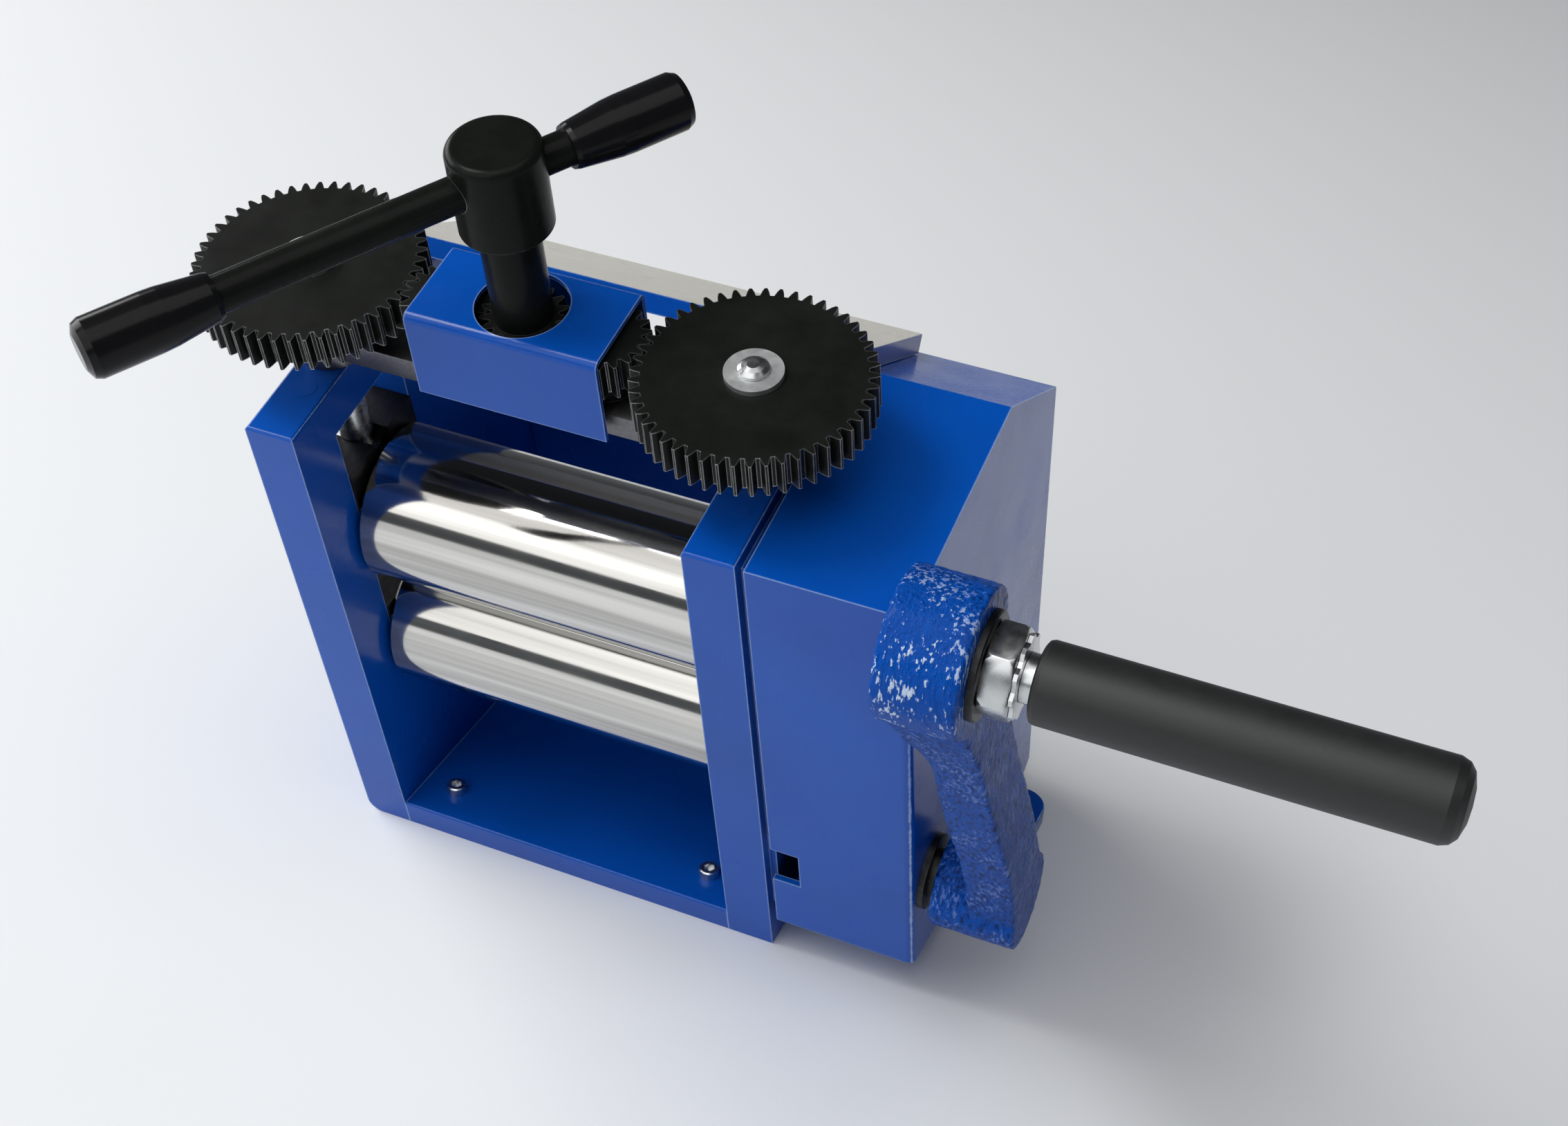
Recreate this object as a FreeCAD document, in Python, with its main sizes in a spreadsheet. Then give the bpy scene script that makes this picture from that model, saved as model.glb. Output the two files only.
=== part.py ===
import FreeCAD, Part
import math
import os

import Sketcher

# Jewellers rolling mill.  Two side plates carry a fixed lower roll and an upper roll that slides
# between them.  A T-handle lowers both ends of the upper roll together through a gear train on top
# of the plates, and a crank turns the rolls through a geared reduction under the side cover.
#
# The whole frame leans forward over its base.  Every leaning piece is drawn upright: X across the
# mill, Y to the rear from the front faces of the side plates, Z up from their front bottom corners.
# Its Placement then turns it about X by the lean and moves it forward, so that the origin of the
# whole mill is the middle of the underside of its base.  Only the base plate, its screws and the two
# feet are drawn level, because they are parallel to the bench.

DOC = FreeCAD.newDocument("rolling_mill")

SIZES = [
    # frame
    ("lean", 17.0, "forward lean of the frame, degrees"),
    ("plate_gap", 92.0, "clear width between the side plates"),
    ("plate_wall", 12.0, "thickness of a side plate"),
    ("plate_depth", 96.0, "front to rear of a side plate"),
    ("plate_top", 145.0, "height of a side plate at the front"),
    ("plate_corner", 4.0, "radius of the lower outer corner of a side plate"),
    ("plate_edge", 0.8, "rounded edge of a side plate"),
    ("slope_start", 62.35, "distance of the rear slope from the front"),
    ("slope_angle", 37.05, "rear slope below the top, degrees"),
    ("base_wall", 8.0, "thickness of the base plate"),
    ("base_edge", 0.6, "rounded front top edge of the base plate"),
    ("base_screw", 1.6, "radius of a base screw"),
    ("base_head", 2.6, "head radius of a base screw"),
    ("base_head_height", 2.4, "head height of a base screw"),
    ("base_socket", 1.25, "hexagon of a base screw, centre to flat"),
    ("base_socket_depth", 1.3, "depth of that hexagon"),
    ("base_screw_inset", 9.5, "base screw from the side plate"),
    ("base_screw_setback", 10.4, "base screw from the front top edge of the base"),
    ("foot_wall", 5.0, "thickness of a foot"),
    ("foot_front", 40.0, "front edge of a foot from the front corner"),
    ("foot_rear", 82.6, "rear edge of a foot from the front corner"),
    ("foot_reach_left", 15.0, "left foot beyond its side plate"),
    ("foot_reach_right", 47.5, "right foot beyond its side plate"),
    ("foot_corner", 7.0, "outer corner radius of a foot"),
    ("foot_edge", 0.8, "rounded top edge of a foot"),
    ("foot_hole", 2.25, "radius of a bench bolt hole"),
    ("foot_hole_inset", 5.4, "bench bolt hole from the outer edge of a foot"),
    ("rear_plate_wall", 4.7, "thickness of the rear top plate"),
    ("rear_plate_length", 38.6, "length of the rear top plate down the slope"),
    ("rear_plate_overhang", 4.8, "rear top plate past the right side plate"),
    # bearing windows and blocks
    ("axis_y", 28.3, "screws, gears and rolls behind the front faces"),
    ("window_width", 28.0, "width of the bearing window"),
    ("window_head", 133.0, "top of the bearing window"),
    ("block_fit", 0.05, "clearance of a block on each side of its window"),
    ("block_proud", 0.6, "block past the inner face of its side plate"),
    ("block_under", 13.0, "block below its journal axis"),
    ("lower_block_over", 14.0, "lower block above its journal axis"),
    ("upper_block_over", 21.0, "upper block above its journal axis"),
    # rolls
    ("roll_radius", 18.75, "radius of a roll"),
    ("roll_length", 90.0, "length of a roll face"),
    ("roll_edge", 0.8, "bevel at the ends of a roll face"),
    ("lower_roll_height", 59.0, "lower roll axis above the front corner"),
    ("roll_nip", 1.5, "gap between the rolls at rest"),
    ("journal_radius", 10.0, "roll journal in its block"),
    ("journal_fit", 0.05, "radial clearance of a running journal"),
    ("gear_seat_radius", 9.0, "roll shaft inside its gears"),
    ("shaft_end_radius", 8.0, "outer end of the lower roll shaft"),
    # roll gears and reduction
    ("roll_gear_teeth", 15, "teeth of each roll gear"),
    ("roll_gear_module", 2.5, "module of the roll gears"),
    ("roll_gear_start", 4.0, "roll gear outside the side plate"),
    ("roll_gear_face", 12.0, "face width of a roll gear"),
    ("wheel_teeth", 31, "teeth of the reduction wheel"),
    ("pinion_teeth", 12, "teeth of the drive pinion"),
    ("drive_module", 1.25, "module of the reduction gears"),
    ("drive_face", 10.0, "face width of the reduction wheel"),
    ("drive_start", 18.0, "reduction wheel outside the side plate"),
    ("roll_tooth_slack", 0.30, "thinning of a roll gear tooth, in modules"),
    ("drive_tooth_slack", 0.26, "thinning of a reduction gear tooth, in modules"),
    ("drive_angle", 231.34, "drive shaft seen from the lower roll, degrees above the rear"),
    # gear cover
    ("cover_offset", 1.9, "gap between the side plate and the gear cover"),
    ("cover_width", 35.8, "width of the gear cover"),
    ("cover_wall", 1.6, "sheet of the gear cover"),
    ("cover_floor", 12.5, "front bottom edge of the gear cover"),
    ("cover_drop", 0.3, "gear cover below the top of the plates"),
    ("cover_foot_y", 91.0, "rear bottom corner of the cover from the front"),
    ("cover_foot_z", 20.5, "rear bottom corner of the cover below the front corner"),
    ("cover_bevel", 3.8, "bevel at the rear bottom corner of the cover"),
    ("cover_bend", 2.0, "bend radius of the cover"),
    ("cover_notch_width", 7.1, "width of the notch in the cover front"),
    ("cover_notch_floor", 31.0, "bottom of the notch"),
    ("cover_notch_head", 43.7, "top of the notch"),
    ("case_inset", 3.0, "back of the gear case inside the cover outline"),
    # top gear train
    ("train_module", 1.0, "module of the top gear train"),
    ("big_teeth", 49, "teeth of each big gear"),
    ("idler_teeth", 19, "teeth of each idler"),
    ("centre_teeth", 17, "teeth of the centre pinion"),
    ("big_phase", 48.7, "a tooth of the right big gear from +X, degrees"),
    ("train_tooth_slack", 0.12, "thinning of a top gear tooth, in modules"),
    ("idler_addendum", 0.85, "tooth height of an idler above its pitch line, in modules"),
    ("big_hub_radius", 8.0, "hub below a big gear"),
    ("big_hub_lift", 2.2, "bottom of that hub above the crossbar"),
    ("idler_hub_radius", 5.5, "spacer hub below an idler"),
    ("train_floor", 163.0, "underside of the top gears"),
    ("train_face", 8.5, "face width of the top gears"),
    ("bar_floor", 151.0, "underside of the crossbar"),
    ("bar_wall", 6.0, "height of the crossbar"),
    ("bar_width", 16.2, "crossbar front to rear"),
    ("bar_pad_width", 36.6, "end pad of the crossbar front to rear"),
    ("bar_centre_length", 32.0, "middle pad of the crossbar"),
    ("bar_screw", 2.0, "radius of a crossbar screw"),
    ("bar_screw_depth", 9.0, "depth of its hole in the side plate"),
    ("bar_head", 3.5, "head radius of a crossbar screw"),
    ("bar_head_height", 3.2, "head height of a crossbar screw"),
    ("bar_socket", 1.5, "hexagon of a crossbar screw, centre to flat"),
    ("bar_socket_depth", 1.8, "depth of that hexagon"),
    ("idler_pin_radius", 3.0, "pin of an idler"),
    ("centre_journal", 5.0, "journal of the handle shaft in its bush"),
    ("centre_bush", 7.0, "outer radius of the bush of the handle shaft"),
    ("screw_radius", 4.0, "pressure screw"),
    ("screw_neck", 3.0, "neck of the pressure screw above its button"),
    ("screw_button", 5.0, "button of the pressure screw in its block"),
    ("button_height", 4.0, "height of the button"),
    ("button_lift", 13.0, "button above the upper roll axis"),
    ("slot_fit", 0.15, "clearance of the button in its slot"),
    ("stud_radius", 3.3, "domed stud above a big gear"),
    ("stud_height", 3.0, "height of the stud"),
    ("washer_radius", 6.25, "washer on a big gear"),
    ("washer_wall", 1.2, "thickness of that washer"),
    # centre cover
    ("hood_length", 44.4, "centre cover along X"),
    ("hood_front", 16.8, "front of the centre cover"),
    ("hood_depth", 23.5, "centre cover front to rear"),
    ("hood_floor", 152.4, "bottom edge of the centre cover"),
    ("hood_top", 174.4, "top of the centre cover"),
    ("hood_wall", 1.0, "sheet of the centre cover"),
    ("hood_bend", 2.0, "bend radius of the centre cover"),
    ("hood_hole", 10.1, "hole for the handle shaft"),
    # T-handle
    ("stem_radius", 6.4, "handle shaft"),
    ("stem_shoulder", 6.0, "shoulder of the handle shaft under its pinion"),
    ("hub_radius", 9.8, "T-handle hub"),
    ("hub_top", 216.5, "top of the hub"),
    ("hub_height", 21.0, "height of the hub"),
    ("hub_edge", 2.0, "rounded top edge of the hub"),
    ("tommy_drop", 8.3, "tommy bar axis below the top of the hub"),
    ("tommy_angle", 54.5, "tommy bar from +X towards the rear, degrees"),
    ("tommy_radius", 3.8, "tommy bar"),
    ("tommy_fit", 0.1, "clearance of the tommy bar in the hub"),
    ("grip_front_start", 59.5, "front grip from the hub axis"),
    ("grip_rear_start", 15.3, "rear grip from the hub axis"),
    ("grip_length", 27.0, "length of a tommy bar grip"),
    ("grip_radius", 6.15, "radius of a tommy bar grip"),
    ("grip_neck", 4.6, "small end of a tommy bar grip"),
    # crank
    ("crank_radius", 121.8, "crank throw"),
    ("crank_angle", 102.4, "crank at rest from the rear, degrees upwards"),
    ("crank_inner", 40.0, "inner face of the crank hub outside the side plate"),
    ("crank_wall", 18.0, "thickness of the crank hub"),
    ("crank_hub", 15.8, "radius of the crank hub"),
    ("crank_boss", 12.3, "radius of the crank boss"),
    ("crank_boss_inner", 41.1, "inner face of the boss outside the side plate"),
    ("crank_offset", 4.8, "boss end of the crank outside its hub"),
    ("crank_web_wall", 12.3, "thickness of the crank web"),
    ("crank_web", 9.0, "half width of the crank web"),
    ("crank_hub_flare", 22.0, "fillet between the web and the hub"),
    ("crank_boss_flare", 14.0, "fillet between the web and the boss"),
    ("crank_blind", 4.0, "wall over the end of the drive shaft"),
    ("drive_radius", 6.0, "drive shaft"),
    ("drive_journal", 5.0, "inner journal of the drive shaft"),
    ("cap_radius", 8.8, "cap over the left end of the lower roll shaft"),
    ("cap_length", 20.0, "length of that cap"),
    ("stub_radius", 6.0, "left end of a roll shaft"),
    ("stub_length", 8.0, "left end of the lower roll shaft past its side plate"),
    ("drive_bush", 6.5, "outer radius of the inner drive bush"),
    ("drive_bush_depth", 9.0, "depth of the inner drive bush in the side plate"),
    ("flange_radius", 9.3, "flange of the outer drive bush"),
    ("flange_wall", 1.5, "thickness of that flange"),
    ("spindle_radius", 4.0, "spindle of the crank grip"),
    ("crank_washer_radius", 11.0, "washer on the crank hub"),
    ("crank_washer_wall", 1.5, "thickness of that washer"),
    ("nut_flat", 8.5, "crank nut, centre to flat"),
    ("nut_height", 6.0, "height of the crank nut"),
    ("lock_washer_radius", 8.2, "lock washer"),
    ("lock_washer_wall", 1.0, "thickness of the lock washer"),
    ("collar_radius", 5.0, "collar of the spindle"),
    ("collar_length", 2.4, "length of the collar"),
    ("crank_grip_radius", 8.25, "crank grip"),
    ("crank_grip_length", 75.5, "cylindrical length of the crank grip"),
    ("crank_grip_dome", 4.0, "domed end of the crank grip"),
    ("end_play", 0.3, "side clearance between pieces that turn"),
    ("press_fit", 0.02, "radial gap drawn at a pressed pin"),
]


class Size:
    """A dimension that knows both its number and its spreadsheet formula."""

    def __init__(self, value, text):
        self.value = value
        self.text = text

    def __add__(self, other):
        other = size(other)
        return Size(self.value + other.value, f"({self.text} + {other.text})")

    def __sub__(self, other):
        other = size(other)
        return Size(self.value - other.value, f"({self.text} - {other.text})")

    def __mul__(self, other):
        other = size(other)
        return Size(self.value * other.value, f"({self.text} * {other.text})")

    def __truediv__(self, other):
        other = size(other)
        return Size(self.value / other.value, f"({self.text} / {other.text})")

    def __neg__(self):
        return Size(-self.value, f"(0 - {self.text})")

    __radd__ = __add__
    __rmul__ = __mul__


def size(number):
    return number if isinstance(number, Size) else Size(float(number), repr(float(number)))


def cosine(angle):
    return Size(math.cos(math.radians(angle.value)), f"cos({angle.text})")


def sine(angle):
    return Size(math.sin(math.radians(angle.value)), f"sin({angle.text})")


def tangent(angle):
    return Size(math.tan(math.radians(angle.value)), f"tan({angle.text})")


def fill_sheet():
    """Write every driving dimension to the spreadsheet and return them as Size objects."""
    sheet = DOC.addObject("Spreadsheet::Sheet", "Sizes")
    named = {}
    for row, (name, value, meaning) in enumerate(SIZES, start=1):
        sheet.set(f"A{row}", meaning)
        sheet.set(f"B{row}", str(value))
        sheet.setAlias(f"B{row}", name)
        named[name] = Size(float(value), f"Sizes.{name}")
    DOC.recompute()
    return named


D = fill_sheet()

# Shared places, worked out from the driving dimensions.
LEAN = D["lean"]
PLATE_IN = D["plate_gap"] / 2
PLATE_OUT = PLATE_IN + D["plate_wall"]
AXIS_Y = D["axis_y"]
LOWER_Z = D["lower_roll_height"]
UPPER_Z = LOWER_Z + D["roll_radius"] * 2 + D["roll_nip"]
WINDOW_FLOOR = LOWER_Z - D["block_under"]
ROLL_PITCH = D["roll_gear_teeth"] * D["roll_gear_module"] / 2
DRIVE_REACH = (D["wheel_teeth"] + D["pinion_teeth"]) * D["drive_module"] / 2
DRIVE_Y = AXIS_Y + DRIVE_REACH * cosine(D["drive_angle"])
DRIVE_Z = LOWER_Z + DRIVE_REACH * sine(D["drive_angle"])
DRIVE_IN = PLATE_OUT + D["drive_start"]
COVER_IN = PLATE_OUT + D["cover_offset"]
COVER_OUT = COVER_IN + D["cover_width"]
BAR_TOP = D["bar_floor"] + D["bar_wall"]
TRAIN_TOP = D["train_floor"] + D["train_face"]
SCREW_X = PLATE_IN + D["plate_wall"] / 2
CENTRE_PITCH = D["centre_teeth"] * D["train_module"] / 2
IDLER_PITCH = D["idler_teeth"] * D["train_module"] / 2
BIG_PITCH = D["big_teeth"] * D["train_module"] / 2
IDLER_X = CENTRE_PITCH + IDLER_PITCH
HUB_FLOOR = D["hub_top"] - D["hub_height"]
TOMMY_Z = D["hub_top"] - D["tommy_drop"]
HUB_Y = DRIVE_Y + D["crank_radius"] * cosine(D["crank_angle"])
HUB_Z = DRIVE_Z + D["crank_radius"] * sine(D["crank_angle"])
CRANK_IN = PLATE_OUT + D["crank_inner"]
CRANK_OUT = CRANK_IN + D["crank_wall"]
BOSS_IN = PLATE_OUT + D["crank_boss_inner"]
BOSS_OUT = CRANK_OUT + D["crank_offset"]
WASHER_OUT = CRANK_OUT + D["crank_washer_wall"]
NUT_OUT = WASHER_OUT + D["nut_height"]
LOCK_OUT = NUT_OUT + D["lock_washer_wall"]
GRIP_IN = LOCK_OUT + D["collar_length"]
BASE_DEPTH = D["plate_depth"] / cosine(LEAN)
BASE_SHIFT = D["base_wall"] * tangent(LEAN)

NODES = []


def bind(thing, path, amount):
    thing.setExpression(path, size(amount).text)


def place(thing, leaning):
    """Bring the middle of the base to the origin, and turn what was drawn upright by the lean."""
    turn = FreeCAD.Rotation(FreeCAD.Vector(1, 0, 0), LEAN.value if leaning else 0)
    thing.Placement = FreeCAD.Placement(FreeCAD.Vector(0, -BASE_DEPTH.value / 2, 0), turn)
    bind(thing, "Placement.Base.y", -BASE_DEPTH / 2)
    if leaning:
        bind(thing, "Placement.Rotation.Angle", LEAN)


def body(name, leaning=True):
    piece = DOC.addObject("PartDesign::Body", name)
    piece.Label = name
    place(piece, leaning)
    NODES.append(piece)
    return piece


def sketch(piece, plane, offset=(0, 0, 0), turn=None, axis=(0, 0, 1)):
    """A sketch on an origin plane of its body, moved and turned in the plane's own directions."""
    base = next(f for f in piece.Origin.OriginFeatures if f.Role == plane)
    flat = piece.newObject("Sketcher::SketchObject", "sketch")
    flat.AttachmentSupport = [(base, "")]
    flat.MapMode = "FlatFace"
    move = [size(amount) for amount in offset]
    angle = size(turn if turn is not None else 0)
    rotation = FreeCAD.Rotation(FreeCAD.Vector(*axis), angle.value)
    flat.AttachmentOffset = FreeCAD.Placement(FreeCAD.Vector(*[m.value for m in move]), rotation)
    for letter, amount in zip("xyz", move):
        bind(flat, f"AttachmentOffset.Base.{letter}", amount)
    if turn is not None:
        bind(flat, "AttachmentOffset.Rotation.Angle", angle)
    return flat


def fix_point(flat, edge, point, place):
    for kind, amount in zip(("DistanceX", "DistanceY"), place):
        amount = size(amount)
        rule = Sketcher.Constraint(kind, -1, 1, edge, point, amount.value)
        bind(flat, f"Constraints[{flat.addConstraint(rule)}]", amount)


def polygon(flat, places):
    """A closed outline through places, each tied to the sketch origin."""
    first = flat.GeometryCount
    count = len(places)
    spots = [FreeCAD.Vector(size(x).value, size(y).value, 0) for x, y in places]
    for i in range(count):
        flat.addGeometry(Part.LineSegment(spots[i], spots[(i + 1) % count]), False)
    for i in range(count):
        flat.addConstraint(Sketcher.Constraint("Coincident", first + i, 2, first + (i + 1) % count, 1))
    for i in range(count):
        fix_point(flat, first + i, 1, places[i])


def rectangle(flat, left, right, low, high):
    polygon(flat, [(left, low), (right, low), (right, high), (left, high)])


def circle(flat, centre, radius):
    across, up, radius = size(centre[0]), size(centre[1]), size(radius)
    middle = FreeCAD.Vector(across.value, up.value, 0)
    edge = flat.addGeometry(Part.Circle(middle, FreeCAD.Vector(0, 0, 1), radius.value), False)
    fix_point(flat, edge, 3, (across, up))
    bind(flat, f"Constraints[{flat.addConstraint(Sketcher.Constraint('Radius', edge, radius.value))}]",
         radius)


def pad(piece, flat, length):
    grown = piece.newObject("PartDesign::Pad", "pad")
    grown.Profile = flat
    bind(grown, "Length", length)
    flat.Visibility = False
    return grown


def cut(piece, flat, length, forward=False):
    """A pocket against the sketch's normal, or along it when forward."""
    before = piece.Tip
    taken = piece.newObject("PartDesign::Pocket", "pocket")
    taken.Profile = flat
    taken.Reversed = forward
    bind(taken, "Length", length)
    DOC.recompute()
    if not taken.Shape.Volume < before.Shape.Volume - 0.01:
        raise RuntimeError(f"{piece.Label}: a pocket removes nothing")
    return taken


def round_edges(piece, radius, wanted):
    """Fillet the edges of the tip for which wanted(edge) is true."""
    DOC.recompute()
    tip = piece.Tip
    names = [f"Edge{i}" for i, edge in enumerate(tip.Shape.Edges, start=1) if wanted(edge)]
    if not names:
        raise RuntimeError(f"{piece.Label}: no edge to round")
    soft = piece.newObject("PartDesign::Fillet", "round")
    soft.Base = (tip, names)
    bind(soft, "Radius", radius)
    return soft


def spin(piece, flat, axis="V_Axis"):
    turned = piece.newObject("PartDesign::Revolution", "turned")
    turned.Profile = flat
    turned.ReferenceAxis = (flat, [axis])
    turned.Angle = 360
    return turned


def turned_part(name, places, origin, upright, leaning=True):
    """A turned piece: places are (radius, position along the axis) pairs.

    An upright piece turns about a vertical axis through origin, any other about an axis along X.
    """
    piece = body(name, leaning)
    across, back, up = [size(amount) for amount in origin]
    if upright:
        flat = sketch(piece, "XZ_Plane", (across, up, -back))
        polygon(flat, [(radius, along) for radius, along in places])
        spin(piece, flat, "V_Axis")
    else:
        flat = sketch(piece, "XY_Plane", (across, back, up))
        polygon(flat, [(along, radius) for radius, along in places])
        spin(piece, flat, "H_Axis")
    return piece


def gear(name, plane, offset, teeth, module, face, bore, phase, slack, addendum=1.0):
    """A spur gear: a root disc, one tooth repeated round it and a bore.

    phase is the direction of one tooth in the sketch.  slack thins each tooth, in modules.
    """
    piece = body(name)
    pitch = teeth * module / 2
    root = pitch - module * 1.25
    tip = pitch + module * addendum
    disc = sketch(piece, plane, offset)
    circle(disc, (0, 0), root)
    pad(piece, disc, face)
    tooth = sketch(piece, plane, offset, turn=phase)
    half_root = module * (size(1.12) - slack / 2)
    half_pitch = module * (size(math.pi / 4) - slack / 2)
    half_tip = module * (size(0.36) - slack / 2)
    sunk = root - module * 0.4
    polygon(tooth, [(sunk, -half_root), (root, -half_root), (pitch, -half_pitch), (tip, -half_tip),
                    (tip, half_tip), (pitch, half_pitch), (root, half_root), (sunk, half_root)])
    first = pad(piece, tooth, face)
    ring = piece.newObject("PartDesign::PolarPattern", "teeth")
    ring.Originals = [first]
    ring.Axis = (disc, ["N_Axis"])
    ring.Angle = 360
    bind(ring, "Occurrences", teeth)
    piece.Tip = ring
    if bore is not None:
        hole = sketch(piece, plane, offset)
        circle(hole, (0, 0), bore)
        cut(piece, hole, face, forward=True)
    return piece


def mirrored(name, source):
    """The left-hand piece of a pair."""
    copy = DOC.addObject("Part::Mirroring", name)
    copy.Label = name
    copy.Source = source
    copy.Normal = FreeCAD.Vector(1, 0, 0)
    copy.Base = FreeCAD.Vector(0, 0, 0)
    NODES.append(copy)
    return copy


def grouped(name, pieces):
    """Identical fasteners kept as one node of separate solids."""
    group = DOC.addObject("Part::Compound", name)
    group.Label = name
    group.Links = pieces
    for piece in pieces:
        if piece in NODES:
            NODES.remove(piece)
    NODES.append(group)
    return group


def pair(name, source):
    """One node that holds a piece and its mirror image."""
    source.Label = name + "_right"
    copy = mirrored(name + "_left", source)
    return grouped(name, [source, copy])


# ---------------------------------------------------------------- frame


def side_plate(side):
    """A side plate with its bearing window; side is 1 on the right and -1 on the left."""
    piece = body("side_plate_right" if side > 0 else "side_plate_left")
    start = PLATE_IN if side > 0 else -PLATE_OUT
    outline = sketch(piece, "YZ_Plane", (0, 0, start))
    slope_end = D["plate_top"] - (D["plate_depth"] - D["slope_start"]) * tangent(D["slope_angle"])
    polygon(outline, [(0, 0), (D["plate_depth"], -D["plate_depth"] * tangent(LEAN)),
                      (D["plate_depth"], slope_end), (D["slope_start"], D["plate_top"]),
                      (0, D["plate_top"])])
    pad(piece, outline, D["plate_wall"])
    window = sketch(piece, "YZ_Plane", (0, 0, start))
    half = D["window_width"] / 2
    rectangle(window, AXIS_Y - half, AXIS_Y + half, WINDOW_FLOOR, D["window_head"])
    cut(piece, window, D["plate_wall"], forward=True)
    threads = sketch(piece, "XY_Plane", (SCREW_X * side, AXIS_Y, D["plate_top"]))
    circle(threads, (0, 0), D["screw_radius"] + D["journal_fit"])
    cut(piece, threads, D["plate_top"] - D["window_head"])
    taps = sketch(piece, "XY_Plane", (SCREW_X * side, AXIS_Y, D["plate_top"]))
    for way in (-1, 1):
        circle(taps, (0, BAR_SCREW_Y * way), D["bar_screw"] + D["press_fit"])
    cut(piece, taps, D["bar_screw_depth"])
    if side > 0:
        bush = sketch(piece, "YZ_Plane", (DRIVE_Y, DRIVE_Z, PLATE_OUT))
        circle(bush, (0, 0), D["drive_bush"] + D["press_fit"])
        cut(piece, bush, D["drive_bush_depth"])
    else:
        round_edges(piece, D["plate_corner"], lambda edge: is_lower_corner(edge, -PLATE_OUT.value))
    round_edges(piece, D["plate_edge"], is_plate_edge)
    return piece


def is_plate_edge(edge):
    """True for the edges round the front, top and rear slope of a side plate."""
    ends = [vertex.Point for vertex in edge.Vertexes]
    if len(ends) != 2 or any(bench_height(point) < 12 for point in ends):
        return False
    depth, top = D["plate_depth"].value, D["plate_top"].value
    start, fall = D["slope_start"].value, math.tan(math.radians(D["slope_angle"].value))
    return any(all(abs(gap) < 0.01 for gap in gaps) for gaps in (
        [point.z - top for point in ends],
        [point.z - top + (point.y - start) * fall for point in ends]))


def is_lower_corner(edge, across):
    """True for the bottom edge of a side plate at its outer face."""
    ends = [vertex.Point for vertex in edge.Vertexes]
    if len(ends) != 2:
        return False
    level = all(abs(bench_height(point)) < 0.01 for point in ends)
    return level and all(abs(point.x - across) < 0.01 for point in ends)


def bench_height(point):
    """Height of an upright-drawn point above the bench once the frame leans."""
    angle = math.radians(LEAN.value)
    return point.y * math.sin(angle) + point.z * math.cos(angle)


def base_plate():
    piece = body("base_plate", leaning=False)
    outline = sketch(piece, "YZ_Plane", (0, 0, -PLATE_IN))
    polygon(outline, [(0, 0), (BASE_DEPTH, 0), (BASE_DEPTH - BASE_SHIFT, D["base_wall"]),
                      (-BASE_SHIFT, D["base_wall"])])
    pad(piece, outline, D["plate_gap"])
    holes = sketch(piece, "XY_Plane", (0, 0, D["base_wall"]))
    for side in (-1, 1):
        circle(holes, (BASE_SCREW_X * side, BASE_SCREW_Y), D["base_screw"] + D["press_fit"])
    cut(piece, holes, D["base_wall"])
    round_edges(piece, D["base_edge"], is_base_front)


def is_base_front(edge):
    """True for the front top edge of the base plate."""
    ends = [vertex.Point for vertex in edge.Vertexes]
    if len(ends) != 2 or abs(ends[0].x - ends[1].x) < 1:
        return False
    return all(abs(point.z - D["base_wall"].value) < 0.01 and point.y < 0 for point in ends)


def base_screws():
    """Two socket-head screws near the front corners of the base plate."""
    radius, head, low = D["base_screw"], D["base_head"], D["base_wall"]
    top = low + D["base_head_height"]
    piece = turned_part("base_screws", [(0, 0), (radius, 0), (radius, low), (head, low),
                                        (head, top - 0.3), (head - 0.3, top), (0, top)],
                        (BASE_SCREW_X, BASE_SCREW_Y, 0), upright=True, leaning=False)
    hexagon_socket(piece, (BASE_SCREW_X, BASE_SCREW_Y, top), D["base_socket"], D["base_socket_depth"])
    pair("base_screws", piece)


def hexagon_socket(piece, origin, flat_radius, depth):
    """A hexagon recess in the top of an upright screw."""
    corner = size(flat_radius) / math.cos(math.radians(30))
    flat = sketch(piece, "XY_Plane", origin)
    polygon(flat, [(corner * math.cos(math.radians(60 * k)), corner * math.sin(math.radians(60 * k)))
                   for k in range(6)])
    cut(piece, flat, depth)


def foot(side):
    """A flange on the outer face of a side plate, with a bench bolt hole."""
    piece = body("foot_right" if side > 0 else "foot_left", leaning=False)
    reach = D["foot_reach_right"] if side > 0 else D["foot_reach_left"]
    inner = PLATE_OUT if side > 0 else -PLATE_OUT
    outer = inner + reach * side
    outline = sketch(piece, "XY_Plane")
    rectangle(outline, inner, outer, D["foot_front"], D["foot_rear"])
    pad(piece, outline, D["foot_wall"])
    hole = sketch(piece, "XY_Plane", (0, 0, D["foot_wall"]))
    middle = (D["foot_front"] + D["foot_rear"]) / 2
    circle(hole, (outer - D["foot_hole_inset"] * side, middle), D["foot_hole"])
    cut(piece, hole, D["foot_wall"])
    round_edges(piece, D["foot_corner"], lambda edge: is_upright_at(edge, outer.value))
    round_edges(piece, D["foot_edge"], lambda edge: is_foot_rim(edge, inner.value))


def is_foot_rim(edge, inner):
    """True for the top outline of a foot, but not its hole or the edge at the side plate."""
    ends = [vertex.Point for vertex in edge.Vertexes]
    if len(ends) != 2 or any(abs(point.z - D["foot_wall"].value) > 0.01 for point in ends):
        return False
    return any(abs(point.x - inner) > 0.01 for point in ends)


def is_upright_at(edge, across):
    ends = [vertex.Point for vertex in edge.Vertexes]
    if len(ends) != 2 or abs(ends[0].z - ends[1].z) < 0.1:
        return False
    return all(abs(point.x - across) < 0.01 for point in ends)


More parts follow.
